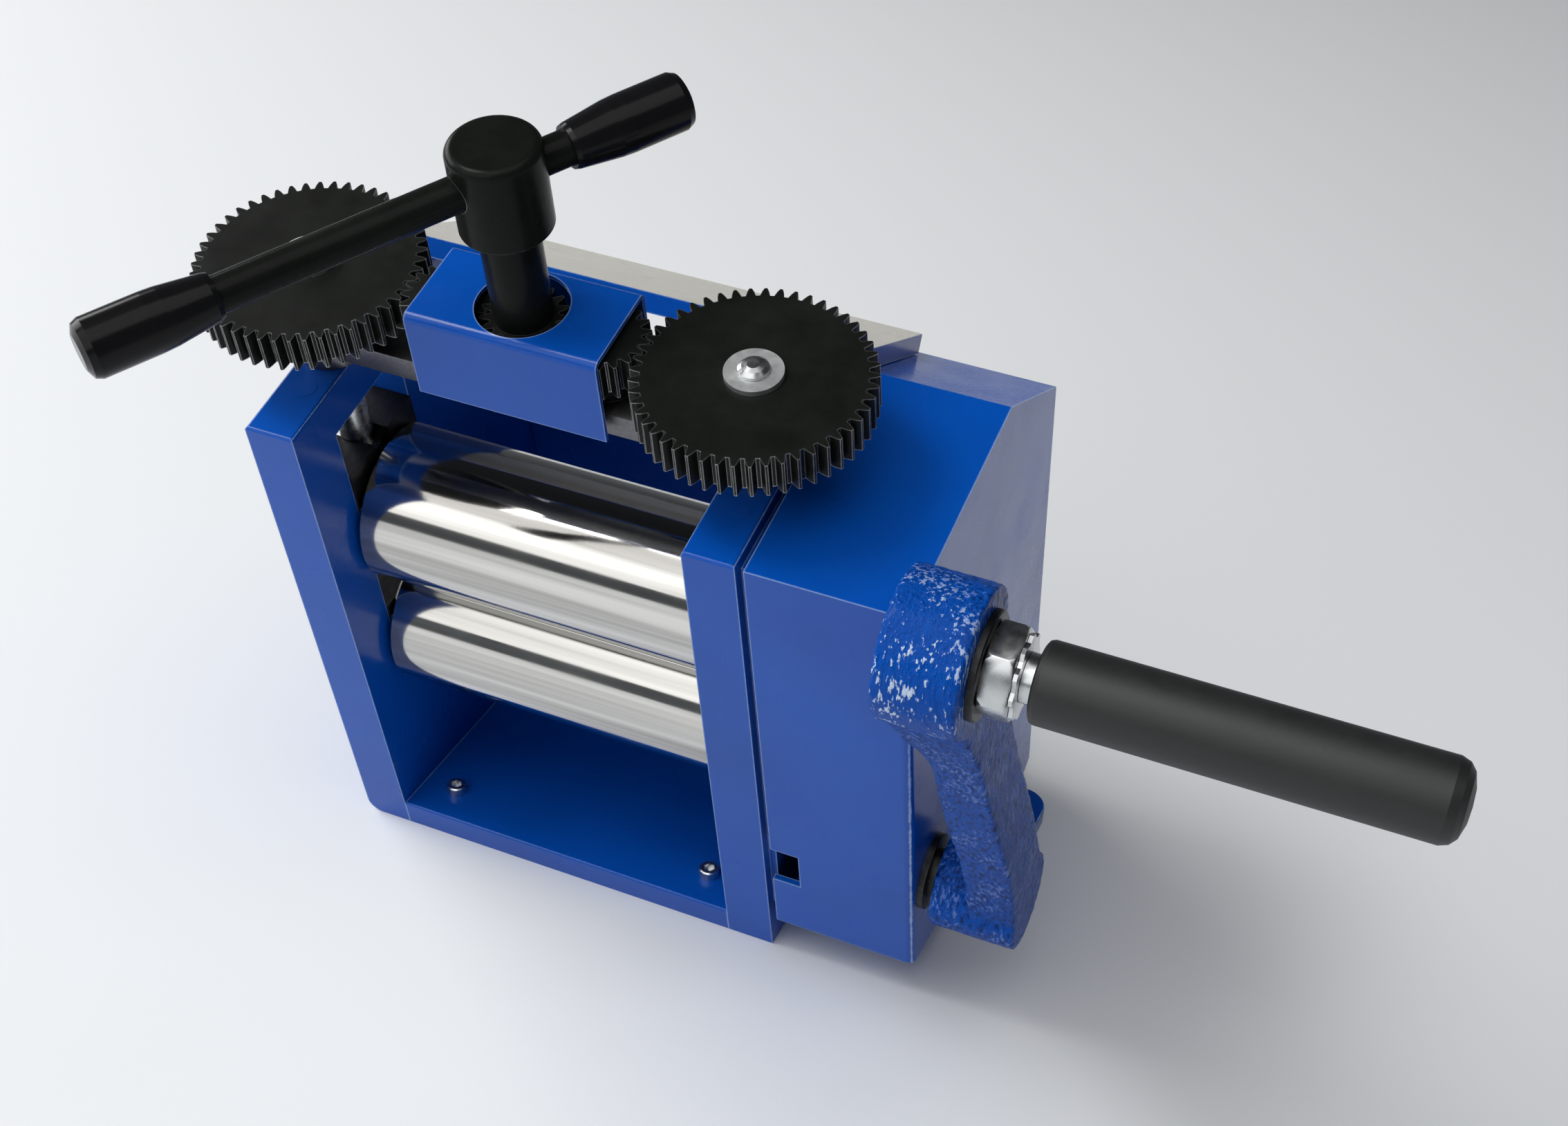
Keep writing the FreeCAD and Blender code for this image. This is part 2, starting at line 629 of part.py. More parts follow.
def rear_top_plate():
    """A flat plate on the rear slope that ties the side plates together."""
    piece = body("rear_top_plate")
    outline = sketch(piece, "YZ_Plane", (0, 0, -PLATE_OUT))
    down, along = -sine(D["slope_angle"]), cosine(D["slope_angle"])
    wall, length = D["rear_plate_wall"], D["rear_plate_length"]
    corners = [(0.4, 0), (length, 0), (length, wall), (0.4, wall)]
    polygon(outline, [(D["slope_start"] + along * s - down * n, D["plate_top"] + down * s + along * n)
                      for s, n in [(size(s), size(n)) for s, n in corners]])
    pad(piece, outline, D["plate_gap"] + D["plate_wall"] * 2 + D["rear_plate_overhang"])


# ---------------------------------------------------------------- gap drive carried by the frame

BASE_SCREW_X = PLATE_IN - D["base_screw_inset"]
BASE_SCREW_Y = D["base_screw_setback"] - BASE_SHIFT
BAR_SCREW_Y = (D["bar_width"] + D["bar_pad_width"]) / 4


def slab(piece, box):
    """Pad a block given as (left, right, front, rear, bottom, height)."""
    left, right, front, rear, low, height = box
    flat = sketch(piece, "XY_Plane", (0, 0, low))
    rectangle(flat, left, right, front, rear)
    return pad(piece, flat, height)


def crossbar():
    """The bridge over the side plates, with a pad on each plate and one under the centre cover."""
    piece = body("crossbar")
    half = D["bar_width"] / 2
    slab(piece, (-PLATE_OUT, PLATE_OUT, AXIS_Y - half, AXIS_Y + half, D["bar_floor"], D["bar_wall"]))
    pad_half = D["bar_pad_width"] / 2
    for side in (-1, 1):
        ends = sorted([PLATE_IN * side, PLATE_OUT * side], key=lambda amount: amount.value)
        slab(piece, (ends[0], ends[1], AXIS_Y - pad_half, AXIS_Y + pad_half, D["plate_top"],
                     BAR_TOP - D["plate_top"]))
    middle = D["bar_centre_length"] / 2
    slab(piece, (-middle, middle, D["hood_front"] + D["hood_wall"] + D["press_fit"],
                 D["hood_front"] + D["hood_depth"] - D["hood_wall"] - D["press_fit"],
                 D["bar_floor"], D["bar_wall"]))
    holes = sketch(piece, "XY_Plane", (0, AXIS_Y, BAR_TOP))
    circle(holes, (0, 0), D["centre_bush"] + D["press_fit"])
    for side in (-1, 1):
        circle(holes, (SCREW_X * side, 0), D["screw_radius"] + D["slot_fit"])
        circle(holes, (IDLER_X * side, 0), D["idler_pin_radius"] + D["press_fit"])
        for way in (-1, 1):
            circle(holes, (SCREW_X * side, BAR_SCREW_Y * way), D["bar_screw"] + D["press_fit"])
    cut(piece, holes, BAR_TOP - D["plate_top"])


def crossbar_screws():
    """Four cap screws through the end pads into the side plates."""
    low = D["plate_top"] - D["bar_screw_depth"] + 0.5
    top = BAR_TOP + D["bar_head_height"]
    radius, head = D["bar_screw"], D["bar_head"]
    screws = []
    for way in (-1, 1):
        origin = (SCREW_X, AXIS_Y + BAR_SCREW_Y * way, 0)
        piece = turned_part("crossbar_screw", [(0, low), (radius, low), (radius, BAR_TOP),
                                               (head, BAR_TOP), (head, top), (0, top)],
                            origin, upright=True)
        hexagon_socket(piece, (origin[0], origin[1], top), D["bar_socket"], D["bar_socket_depth"])
        piece.Label = f"crossbar_screw_{len(screws)}"
        screws += [piece, mirrored(f"crossbar_screw_{len(screws) + 1}", piece)]
    grouped("crossbar_screws", screws)


def handle_bush():
    low, fit = D["bar_floor"], D["journal_fit"]
    turned_part("handle_bush", [(D["centre_journal"] + fit, low), (D["centre_bush"], low),
                                (D["centre_bush"], BAR_TOP), (D["centre_journal"] + fit, BAR_TOP)],
                (0, AXIS_Y, 0), upright=True)


def idler_pins():
    """Pins pressed into the crossbar, one under each idler."""
    radius, low, top = D["idler_pin_radius"], D["bar_floor"], TRAIN_TOP
    piece = turned_part("idler_pins", [(0, low), (radius, low), (radius, top - 0.5),
                                       (radius - 0.5, top), (0, top)],
                        (IDLER_X, AXIS_Y, 0), upright=True)
    pair("idler_pins", piece)


def centre_cover():
    """A folded hood over the centre pinion, open at both ends."""
    piece = body("centre_cover")
    outline = sketch(piece, "YZ_Plane", (0, 0, -D["hood_length"] / 2))
    front, rear = D["hood_front"], D["hood_front"] + D["hood_depth"]
    low, top, wall = D["hood_floor"], D["hood_top"], D["hood_wall"]
    polygon(outline, [(front, low), (front, top), (rear, top), (rear, low), (rear - wall, low),
                      (rear - wall, top - wall), (front + wall, top - wall), (front + wall, low)])
    pad(piece, outline, D["hood_length"])
    hole = sketch(piece, "XY_Plane", (0, AXIS_Y, top))
    circle(hole, (0, 0), D["hood_hole"])
    cut(piece, hole, wall)
    round_edges(piece, D["hood_bend"], lambda edge: is_long_at(edge, top.value))


def is_long_at(edge, height):
    """True for an edge along X at the given height."""
    ends = [vertex.Point for vertex in edge.Vertexes]
    if len(ends) != 2 or abs(ends[0].x - ends[1].x) < 1:
        return False
    return all(abs(point.z - height) < 0.01 for point in ends)


# ---------------------------------------------------------------- gear case


def cover_outline():
    """Side view of the gear cover, from the front bottom corner."""
    top = D["plate_top"] - D["cover_drop"]
    slope_end = top - (D["plate_depth"] - D["slope_start"]) * tangent(D["slope_angle"])
    foot_y, foot_z, bevel = D["cover_foot_y"], D["cover_foot_z"], D["cover_bevel"]
    return [(0, D["cover_floor"]), (foot_y - bevel, -foot_z - bevel * tangent(LEAN)),
            (foot_y, -foot_z), (D["plate_depth"], slope_end), (D["slope_start"], top), (0, top)]


def gear_cover():
    """A folded shell over the roll gears, open towards the side plate."""
    piece = body("gear_cover")
    outline = sketch(piece, "YZ_Plane", (0, 0, COVER_IN))
    polygon(outline, cover_outline())
    block = pad(piece, outline, D["cover_width"])
    DOC.recompute()
    open_face = face_at(block.Shape, COVER_IN.value)
    shell = piece.newObject("PartDesign::Thickness", "shell")
    shell.Base = (block, [open_face])
    shell.Reversed = True
    shell.Join = "Intersection"
    bind(shell, "Value", D["cover_wall"])
    DOC.recompute()
    bore = sketch(piece, "YZ_Plane", (DRIVE_Y, DRIVE_Z, COVER_OUT))
    circle(bore, (0, 0), D["drive_radius"] + D["flange_wall"] + D["press_fit"])
    cut(piece, bore, D["cover_wall"])
    notch = sketch(piece, "XZ_Plane")
    rectangle(notch, COVER_IN, COVER_IN + D["cover_notch_width"], D["cover_notch_floor"],
              D["cover_notch_head"])
    cut(piece, notch, D["cover_wall"])
    round_edges(piece, D["cover_bend"], is_cover_bend)


def is_cover_bend(edge):
    """True for the upright outer edge at the front right of the cover."""
    ends = [vertex.Point for vertex in edge.Vertexes]
    if len(ends) != 2 or abs(ends[0].z - ends[1].z) < 50:
        return False
    return all(abs(point.x - COVER_OUT.value) < 0.01 and abs(point.y) < 0.01 for point in ends)


def face_at(shape, across):
    """Name of the flat face of shape that lies at X = across."""
    for i, face in enumerate(shape.Faces, start=1):
        if abs(face.BoundBox.XMin - across) < 0.01 and abs(face.BoundBox.XMax - across) < 0.01:
            return f"Face{i}"
    raise RuntimeError("no face there")


def gear_case_back():
    """The sheet between the side plate and the cover, cut out over the bearing window."""
    piece = body("gear_case_back")
    inset = D["case_inset"]
    (_, floor), _, (foot_y, foot_z), (rear, slope_end), (start, top), _ = cover_outline()
    outline = sketch(piece, "YZ_Plane", (0, 0, PLATE_OUT))
    polygon(outline, [(inset, floor + inset), (foot_y - inset, foot_z + inset * 2),
                      (rear - inset, slope_end - inset / 2), (start - inset / 2, top - inset),
                      (inset, top - inset)])
    pad(piece, outline, D["cover_offset"])
    window = sketch(piece, "YZ_Plane", (0, 0, PLATE_OUT))
    half = D["window_width"] / 2
    rectangle(window, AXIS_Y - half, AXIS_Y + half, WINDOW_FLOOR, D["window_head"])
    cut(piece, window, D["cover_offset"], forward=True)
    bush = sketch(piece, "YZ_Plane", (DRIVE_Y, DRIVE_Z, PLATE_OUT))
    circle(bush, (0, 0), D["drive_bush"] + D["press_fit"])
    cut(piece, bush, D["cover_offset"], forward=True)


def drive_bushes():
    """The two plain bearings of the drive shaft."""
    fit = D["journal_fit"]
    bore, outer = D["drive_journal"] + fit, D["drive_bush"]
    start, end = PLATE_OUT - D["drive_bush_depth"], COVER_IN
    turned_part("drive_bush_inner", [(bore, start), (outer, start), (outer, end), (bore, end)],
                (0, DRIVE_Y, DRIVE_Z), upright=False)
    bore, outer = D["drive_radius"] + fit, D["drive_radius"] + D["flange_wall"]
    start, rim = COVER_OUT - D["cover_wall"] - 1.0, COVER_OUT + D["flange_wall"]
    turned_part("drive_bush_outer", [(bore, start), (outer, start), (outer, COVER_OUT),
                                     (D["flange_radius"], COVER_OUT), (D["flange_radius"], rim),
                                     (bore, rim)],
                (0, DRIVE_Y, DRIVE_Z), upright=False)


# ---------------------------------------------------------------- bearing blocks


def bearing_block(name, height, over, slotted):
    """A right-hand block that fills its window and carries one roll journal."""
    piece = body(name)
    start = PLATE_IN - D["block_proud"]
    half = D["window_width"] / 2 - D["block_fit"]
    flat = sketch(piece, "YZ_Plane", (0, 0, start))
    rectangle(flat, AXIS_Y - half, AXIS_Y + half, height - D["block_under"], height + over)
    pad(piece, flat, D["plate_wall"] + D["block_proud"])
    bore = sketch(piece, "YZ_Plane", (AXIS_Y, height, start))
    circle(bore, (0, 0), D["journal_radius"] + D["journal_fit"])
    cut(piece, bore, D["plate_wall"] + D["block_proud"], forward=True)
    if slotted:
        fit = D["slot_fit"]
        low = height + D["button_lift"] - fit
        high = height + D["button_lift"] + D["button_height"] + fit
        slot = sketch(piece, "YZ_Plane", (AXIS_Y, 0, start))
        wide, narrow = D["screw_button"] + fit, D["screw_neck"] + fit
        polygon(slot, [(-wide, low), (wide, low), (wide, high), (narrow, high),
                       (narrow, height + over), (-narrow, height + over), (-narrow, high),
                       (-wide, high)])
        cut(piece, slot, D["plate_wall"] + D["block_proud"], forward=True)
    return piece


def bearing_blocks():
    lower = bearing_block("lower_block_right", LOWER_Z, D["lower_block_over"], slotted=False)
    mirrored("lower_block_left", lower)
    upper = bearing_block("upper_block_right", UPPER_Z, D["upper_block_over"], slotted=True)
    mirrored("upper_block_left", upper)


# ---------------------------------------------------------------- rolls


def roll(name, height, right_end, left_end):
    """A roll with a journal at each end and a gear seat on the right."""
    face, edge, journal = D["roll_length"] / 2, D["roll_edge"], D["journal_radius"]
    radius, seat, end_radius = D["roll_radius"], D["gear_seat_radius"], D["shaft_end_radius"]
    stub = D["stub_radius"]
    seat_end = PLATE_OUT + D["roll_gear_start"] + D["roll_gear_face"] + 0.5
    places = [(0, left_end), (stub, left_end), (stub, -PLATE_OUT), (journal, -PLATE_OUT),
              (journal, -face), (radius - edge, -face), (radius, -face + edge), (radius, face - edge),
              (radius - edge, face), (journal, face), (journal, PLATE_OUT), (seat, PLATE_OUT),
              (seat, seat_end), (end_radius, seat_end), (end_radius, right_end), (0, right_end)]
    turned_part(name, places, (0, AXIS_Y, height), upright=False)


def rolls():
    seat_end = PLATE_OUT + D["roll_gear_start"] + D["roll_gear_face"] + 0.5
    roll("upper_roll", UPPER_Z, seat_end + 1.5, -(PLATE_OUT + 1.0))
    roll("lower_roll", LOWER_Z, DRIVE_IN + D["drive_face"] + 2.0, -(PLATE_OUT + D["stub_length"]))


def roll_gears():
    """Deep-toothed gears that stay in mesh while the gap opens."""
    start = PLATE_OUT + D["roll_gear_start"]
    teeth, module, face = D["roll_gear_teeth"], D["roll_gear_module"], D["roll_gear_face"]
    bore = D["gear_seat_radius"] + D["press_fit"]
    half_tooth = size(180) / teeth
    slack = D["roll_tooth_slack"]
    gear("lower_roll_gear", "YZ_Plane", (AXIS_Y, LOWER_Z, start), teeth, module, face, bore,
         size(90), slack)
    gear("upper_roll_gear", "YZ_Plane", (AXIS_Y, UPPER_Z, start), teeth, module, face, bore,
         size(270) + half_tooth, slack)


def reduction():
    """The wheel on the lower roll shaft and the pinion on the drive shaft."""
    module, face, angle = D["drive_module"], D["drive_face"], D["drive_angle"]
    slack = D["drive_tooth_slack"]
    gear("reduction_gear", "YZ_Plane", (AXIS_Y, LOWER_Z, DRIVE_IN), D["wheel_teeth"], module, face,
         D["shaft_end_radius"] + D["press_fit"], angle, slack)
    gear("drive_pinion", "YZ_Plane", (DRIVE_Y, DRIVE_Z, DRIVE_IN), D["pinion_teeth"], module, face,
         D["drive_journal"] + D["press_fit"], angle + 180 + size(180) / D["pinion_teeth"], slack)


def left_shaft_cap():
    """A closed cap over the left end of the lower roll shaft."""
    start, end, outer = PLATE_OUT, PLATE_OUT + D["cap_length"], D["cap_radius"]
    inner = D["stub_radius"] + D["end_play"]
    depth = start + D["stub_length"] + 1.0
    turned_part("left_shaft_cap", [(inner, -start), (outer, -start), (outer, -end + 1.0),
                                   (outer - 1.0, -end), (0, -end), (0, -depth), (inner, -depth)],
                (0, AXIS_Y, LOWER_Z), upright=False)


# ---------------------------------------------------------------- top gear train


def big_gear(side):
    """The gear on a pressure screw: a toothed rim and a hub below it."""
    phase = D["big_phase"] if side > 0 else LEFT_PHASE
    name = "big_gear_right" if side > 0 else "big_gear_left"
    bore = D["screw_radius"] + D["press_fit"]
    piece = gear(name, "XY_Plane", (SCREW_X * side, AXIS_Y, D["train_floor"]), D["big_teeth"],
                 D["train_module"], D["train_face"], None, phase, D["train_tooth_slack"])
    hub = sketch(piece, "XY_Plane", (SCREW_X * side, AXIS_Y, BIG_HUB_FLOOR))
    circle(hub, (0, 0), D["big_hub_radius"])
    pad(piece, hub, D["train_floor"] - BIG_HUB_FLOOR + 1.0)
    hole = sketch(piece, "XY_Plane", (SCREW_X * side, AXIS_Y, TRAIN_TOP))
    circle(hole, (0, 0), bore)
    cut(piece, hole, TRAIN_TOP - BIG_HUB_FLOOR)


def idler_gear(side):
    """An idler between the centre pinion and a big gear, with a spacer hub below it."""
    name = "idler_gear_right" if side > 0 else "idler_gear_left"
    phase = IDLER_PHASE_RIGHT if side > 0 else IDLER_PHASE_LEFT
    origin = (IDLER_X * side, AXIS_Y, D["train_floor"])
    piece = gear(name, "XY_Plane", origin, D["idler_teeth"], D["train_module"], D["train_face"],
                 None, phase, D["train_tooth_slack"], D["idler_addendum"])
    floor = BAR_TOP + D["end_play"]
    hub = sketch(piece, "XY_Plane", (IDLER_X * side, AXIS_Y, floor))
    circle(hub, (0, 0), D["idler_hub_radius"])
    pad(piece, hub, D["train_floor"] - floor + 1.0)
    hole = sketch(piece, "XY_Plane", (IDLER_X * side, AXIS_Y, TRAIN_TOP))
    circle(hole, (0, 0), D["idler_pin_radius"] + D["journal_fit"])
    cut(piece, hole, TRAIN_TOP - floor)


def centre_pinion():
    gear("centre_pinion", "XY_Plane", (0, AXIS_Y, D["train_floor"]), D["centre_teeth"],
         D["train_module"], D["train_face"], D["centre_journal"] + D["press_fit"], CENTRE_PHASE,
         D["train_tooth_slack"])


def mesh_phase(direction, teeth, other_teeth, other_phase):
    """Phase of a gear that meshes with another one lying in the given direction from it."""
    other_share = (direction + 180 - other_phase) * other_teeth / 360
    return direction - (size(0.5) - other_share) * 360 / teeth


# A tooth of one gear always faces a gap of the next along the line between their centres.
IDLER_PHASE_RIGHT = mesh_phase(size(0), D["idler_teeth"], D["big_teeth"], D["big_phase"])
CENTRE_PHASE = mesh_phase(size(0), D["centre_teeth"], D["idler_teeth"], IDLER_PHASE_RIGHT)
IDLER_PHASE_LEFT = mesh_phase(size(0), D["idler_teeth"], D["centre_teeth"], CENTRE_PHASE)
LEFT_PHASE = mesh_phase(size(0), D["big_teeth"], D["idler_teeth"], IDLER_PHASE_LEFT)
BIG_HUB_FLOOR = BAR_TOP + D["big_hub_lift"]


def pressure_screw():
    """Right-hand screw: button, neck, thread, gear seat and domed stud."""
    button = UPPER_Z + D["button_lift"]
    neck = button + D["button_height"]
    thread = UPPER_Z + D["upper_block_over"] + D["end_play"]
    top, stud, height = TRAIN_TOP, D["stud_radius"], D["stud_height"]
    dome = 1.0
    places = [(0, button), (D["screw_button"], button), (D["screw_button"], neck),
              (D["screw_neck"], neck), (D["screw_neck"], thread), (D["screw_radius"], thread),
              (D["screw_radius"], top), (stud, top), (stud, top + height - dome),
              (stud * 0.75, top + height - dome * 0.3), (stud * 0.4, top + height),
              (0, top + height)]
    right = turned_part("pressure_screw_right", places, (SCREW_X, AXIS_Y, 0), upright=True)
    mirrored("pressure_screw_left", right)
    bore, wall = stud + D["press_fit"], D["washer_wall"]
    washer = turned_part("gear_washer_right", [(bore, top), (D["washer_radius"], top),
                                               (D["washer_radius"], top + wall), (bore, top + wall)],
                         (SCREW_X, AXIS_Y, 0), upright=True)
    mirrored("gear_washer_left", washer)


# ---------------------------------------------------------------- T-handle


def handle_shaft():
    """The upright shaft of the T-handle, from its bush up into the hub."""
    low, rest = D["bar_floor"] + 0.2, BAR_TOP + D["end_play"]
    top = TOMMY_Z - D["tommy_radius"] - 2.0
    journal, stem, shoulder = D["centre_journal"], D["stem_radius"], D["stem_shoulder"]
    turned_part("handle_shaft", [(0, low), (journal, low), (journal, rest), (shoulder, rest),
                                 (shoulder, D["train_floor"]), (journal, D["train_floor"]),
                                 (journal, TRAIN_TOP), (stem, TRAIN_TOP), (stem, top), (0, top)],
                (0, AXIS_Y, 0), upright=True)


def handle_hub():
    """The T-handle's head, with a rounded top edge and a cross hole for the tommy bar."""
    radius, low, top = D["hub_radius"], HUB_FLOOR, D["hub_top"]
    socket = TOMMY_Z - D["tommy_radius"] - 2.0
    bore = D["stem_radius"] + D["press_fit"]
    piece = turned_part("handle_hub", [(bore, low), (radius - 1.0, low), (radius, low + 1.0),
                                       (radius, top), (0, top), (0, socket), (bore, socket)],
                        (0, AXIS_Y, 0), upright=True)
    round_edges(piece, D["hub_edge"], lambda edge: is_rim(edge, top.value, radius.value))
    cross = sketch(piece, "XZ_Plane", TOMMY_OFFSET, D["tommy_angle"] + 90, axis=(0, 1, 0))
    circle(cross, (0, 0), D["tommy_radius"] + D["tommy_fit"])
    hole = piece.newObject("PartDesign::Pocket", "cross_hole")
    hole.Profile = cross
    hole.SideType = "Symmetric"
    bind(hole, "Length", D["hub_radius"] * 3)


TOMMY_OFFSET = (0, TOMMY_Z, -AXIS_Y)


def is_rim(edge, height, radius):
    """True for the full circle of the given radius at the given height."""
    round_curve = isinstance(edge.Curve, Part.Circle)
    return round_curve and abs(edge.Curve.Center.z - height) < 0.01 and abs(
        edge.Curve.Radius - radius) < 0.01


def bar_piece(name, places):
    """A turned piece on the tommy bar axis; places are (radius, distance from the hub axis)."""
    piece = body(name)
    flat = sketch(piece, "XY_Plane", (0, AXIS_Y, TOMMY_Z), D["tommy_angle"])
    polygon(flat, [(along, radius) for radius, along in places])
    spin(piece, flat, "H_Axis")
    return piece


def tommy_bar():
    """A sliding cross bar with a grip at each end."""
    radius, length = D["tommy_radius"], D["grip_length"]
    front, rear = D["grip_front_start"], D["grip_rear_start"]
    front_end, rear_end = front + length - 5.0, rear + length - 5.0
    bar_piece("tommy_bar", [(0, -front_end), (radius, -front_end), (radius, rear_end), (0, rear_end)])
    for name, start, way in (("grip_front", front, -1), ("grip_rear", rear, 1)):
        grip(name, start, way)


def grip(name, start, way):
    """A tapered grip with a domed end, closed at its outer end."""
    big, neck, length = D["grip_radius"], D["grip_neck"], D["grip_length"]
    bore = D["tommy_radius"] + D["press_fit"]
    profile = [(bore, start), (neck, start), (neck + 0.3, start + 1.0), (big - 0.15, start + 10.0),
               (big, start + 13.0), (big, start + length - 2.2), (big * 0.9, start + length - 0.8),
               (big * 0.6, start + length), (0, start + length), (0, start + length - 4.9),
               (bore, start + length - 4.9)]
    bar_piece(name, [(radius, along * way) for radius, along in profile])


# ---------------------------------------------------------------- crank


def drive_shaft():
    """The shaft that the crank turns, carried by its two bushes."""
    journal, radius = D["drive_journal"], D["drive_radius"]
    start = PLATE_OUT - D["drive_bush_depth"] + 0.5
    seat = DRIVE_IN + D["drive_face"]
    end = BOSS_OUT - D["crank_blind"]
    turned_part("drive_shaft", [(0, start), (journal, start), (journal, seat), (radius, seat),
                                (radius, end), (0, end)],
                (0, DRIVE_Y, DRIVE_Z), upright=False)


def crank_arm():
    """A cast arm: a hub for the grip spindle, a web that bends outwards and a boss on the shaft.

    Two profiles are drawn along the throw and cut by each other, one seen from the side of the mill
    and one seen from its front.
    """
    piece = body("crank_arm")
    throw, turn = D["crank_radius"], D["crank_angle"]
    front = sketch(piece, "XZ_Plane", (0, DRIVE_Z, -DRIVE_Y), turn - 90, axis=(1, 0, 0))
    low, high, web = -D["crank_boss"], throw + D["crank_hub"], D["crank_web_wall"]
    polygon(front, [(BOSS_IN, low + 2.2), (BOSS_IN + 2.2, low), (BOSS_OUT - 9.5, low),
                    (BOSS_OUT - 5.4, low + 1.4), (BOSS_OUT - 2.2, low + 4.6), (BOSS_OUT, low + 10.0),
                    (BOSS_OUT, throw * 0.16), (BOSS_OUT - 1.1, throw * 0.33),
                    (CRANK_OUT + 1.0, throw * 0.68), (CRANK_OUT, throw * 0.84), (CRANK_OUT, high),
                    (CRANK_IN, high), (CRANK_IN, throw * 0.875), (CRANK_IN + 2.4, throw * 0.80),
                    (CRANK_IN + 6.2, throw * 0.745), (CRANK_IN + 7.9, throw * 0.70),
                    (CRANK_IN + 8.6, throw * 0.54), (BOSS_OUT - web - 0.8, throw * 0.36),
                    (BOSS_OUT - web, throw * 0.24),
                    (BOSS_OUT - web, D["crank_boss"] + 1.5), (BOSS_OUT - web - 1.5, D["crank_boss"]),
                    (BOSS_IN, D["crank_boss"])])
    block = pad(piece, front, size(60))
    block.SideType = "Symmetric"
    DOC.recompute()
    side = sketch(piece, "YZ_Plane", (DRIVE_Y, DRIVE_Z, BOSS_OUT), turn)
    rectangle(side, size(-60), throw + 60, size(-60), size(60))
    arm_outline(side)
    cut(piece, side, BOSS_OUT - CRANK_IN + 5)
    bores = sketch(piece, "YZ_Plane", (DRIVE_Y, DRIVE_Z, BOSS_IN), turn)
    circle(bores, (0, 0), D["drive_radius"] + D["press_fit"])
    cut(piece, bores, BOSS_OUT - D["crank_blind"] - BOSS_IN, forward=True)
    pin = sketch(piece, "YZ_Plane", (DRIVE_Y, DRIVE_Z, CRANK_OUT), turn)
    circle(pin, (throw, 0), D["spindle_radius"] + D["press_fit"])
    cut(piece, pin, D["crank_wall"])


def arm_outline(flat):
    """Side view of the arm: the hub, the boss and a narrower web that flares into both."""
    web = D["crank_web"]
    bulges = []
    for centre, bulge, flare, way in ((size(0), D["crank_boss"], D["crank_boss_flare"], 1),
                                      (D["crank_radius"], D["crank_hub"], D["crank_hub_flare"], -1)):
        reach = math.sqrt((bulge.value + flare.value) ** 2 - (web.value + flare.value) ** 2) * way
        swing = math.atan2(web.value + flare.value, reach)
        bulges.append((centre, bulge, flare, reach, swing))
    _, boss, boss_flare, boss_reach, boss_swing = bulges[0]
    throw, hub, hub_flare, hub_reach, hub_swing = bulges[1]
    near, far = boss_reach, throw.value + hub_reach
    boss_rise, hub_rise = web.value + boss_flare.value, web.value + hub_flare.value
    full, down = 2 * math.pi, -math.pi / 2
    shapes = [("arc", (0, 0), boss, boss_swing, full - boss_swing),
              ("arc", (near, -boss_rise), boss_flare, math.pi - boss_swing, math.pi / 2),
              ("line", (near, -web.value), (far, -web.value)),
              ("arc", (far, -hub_rise), hub_flare, math.pi / 2, math.pi - hub_swing),
              ("arc", (throw.value, 0), hub, -hub_swing, hub_swing),
              ("arc", (far, hub_rise), hub_flare, hub_swing - math.pi, down),
              ("line", (far, web.value), (near, web.value)),
              ("arc", (near, boss_rise), boss_flare, down, boss_swing - math.pi)]
    draw_chain(flat, shapes)


def draw_chain(flat, shapes):
    """Arcs and level lines drawn in turn, each tangent to the next and tied to its own sizes."""
    drawn = []
    for shape in shapes:
        if shape[0] == "line":
            start, end = [FreeCAD.Vector(*spot, 0) for spot in shape[1:]]
            drawn.append((flat.addGeometry(Part.LineSegment(start, end), False), 1, 2))
            continue
        _, centre, radius, begin, finish = shape
        ring = Part.Circle(FreeCAD.Vector(*centre, 0), FreeCAD.Vector(0, 0, 1), radius.value)
        backwards = finish < begin
        angles = (finish, begin) if backwards else (begin, finish)
        arc = flat.addGeometry(Part.ArcOfCircle(ring, *angles), False)
        drawn.append((arc, 2, 1) if backwards else (arc, 1, 2))
        rule = flat.addConstraint(Sketcher.Constraint("Radius", arc, radius.value))
        bind(flat, f"Constraints[{rule}]", radius)
    for i, (edge, _, end) in enumerate(drawn):
        other, start, _ = drawn[(i + 1) % len(drawn)]
        flat.addConstraint(Sketcher.Constraint("Tangent", edge, end, other, start))
    fix_point(flat, drawn[0][0], 3, (0, 0))
    fix_point(flat, drawn[4][0], 3, (D["crank_radius"], 0))
    for edge, amount in ((drawn[2][0], -D["crank_web"]), (drawn[6][0], D["crank_web"])):
        flat.addConstraint(Sketcher.Constraint("Horizontal", edge))
        rule = Sketcher.Constraint("DistanceY", -1, 1, edge, 1, amount.value)
        bind(flat, f"Constraints[{flat.addConstraint(rule)}]", amount)


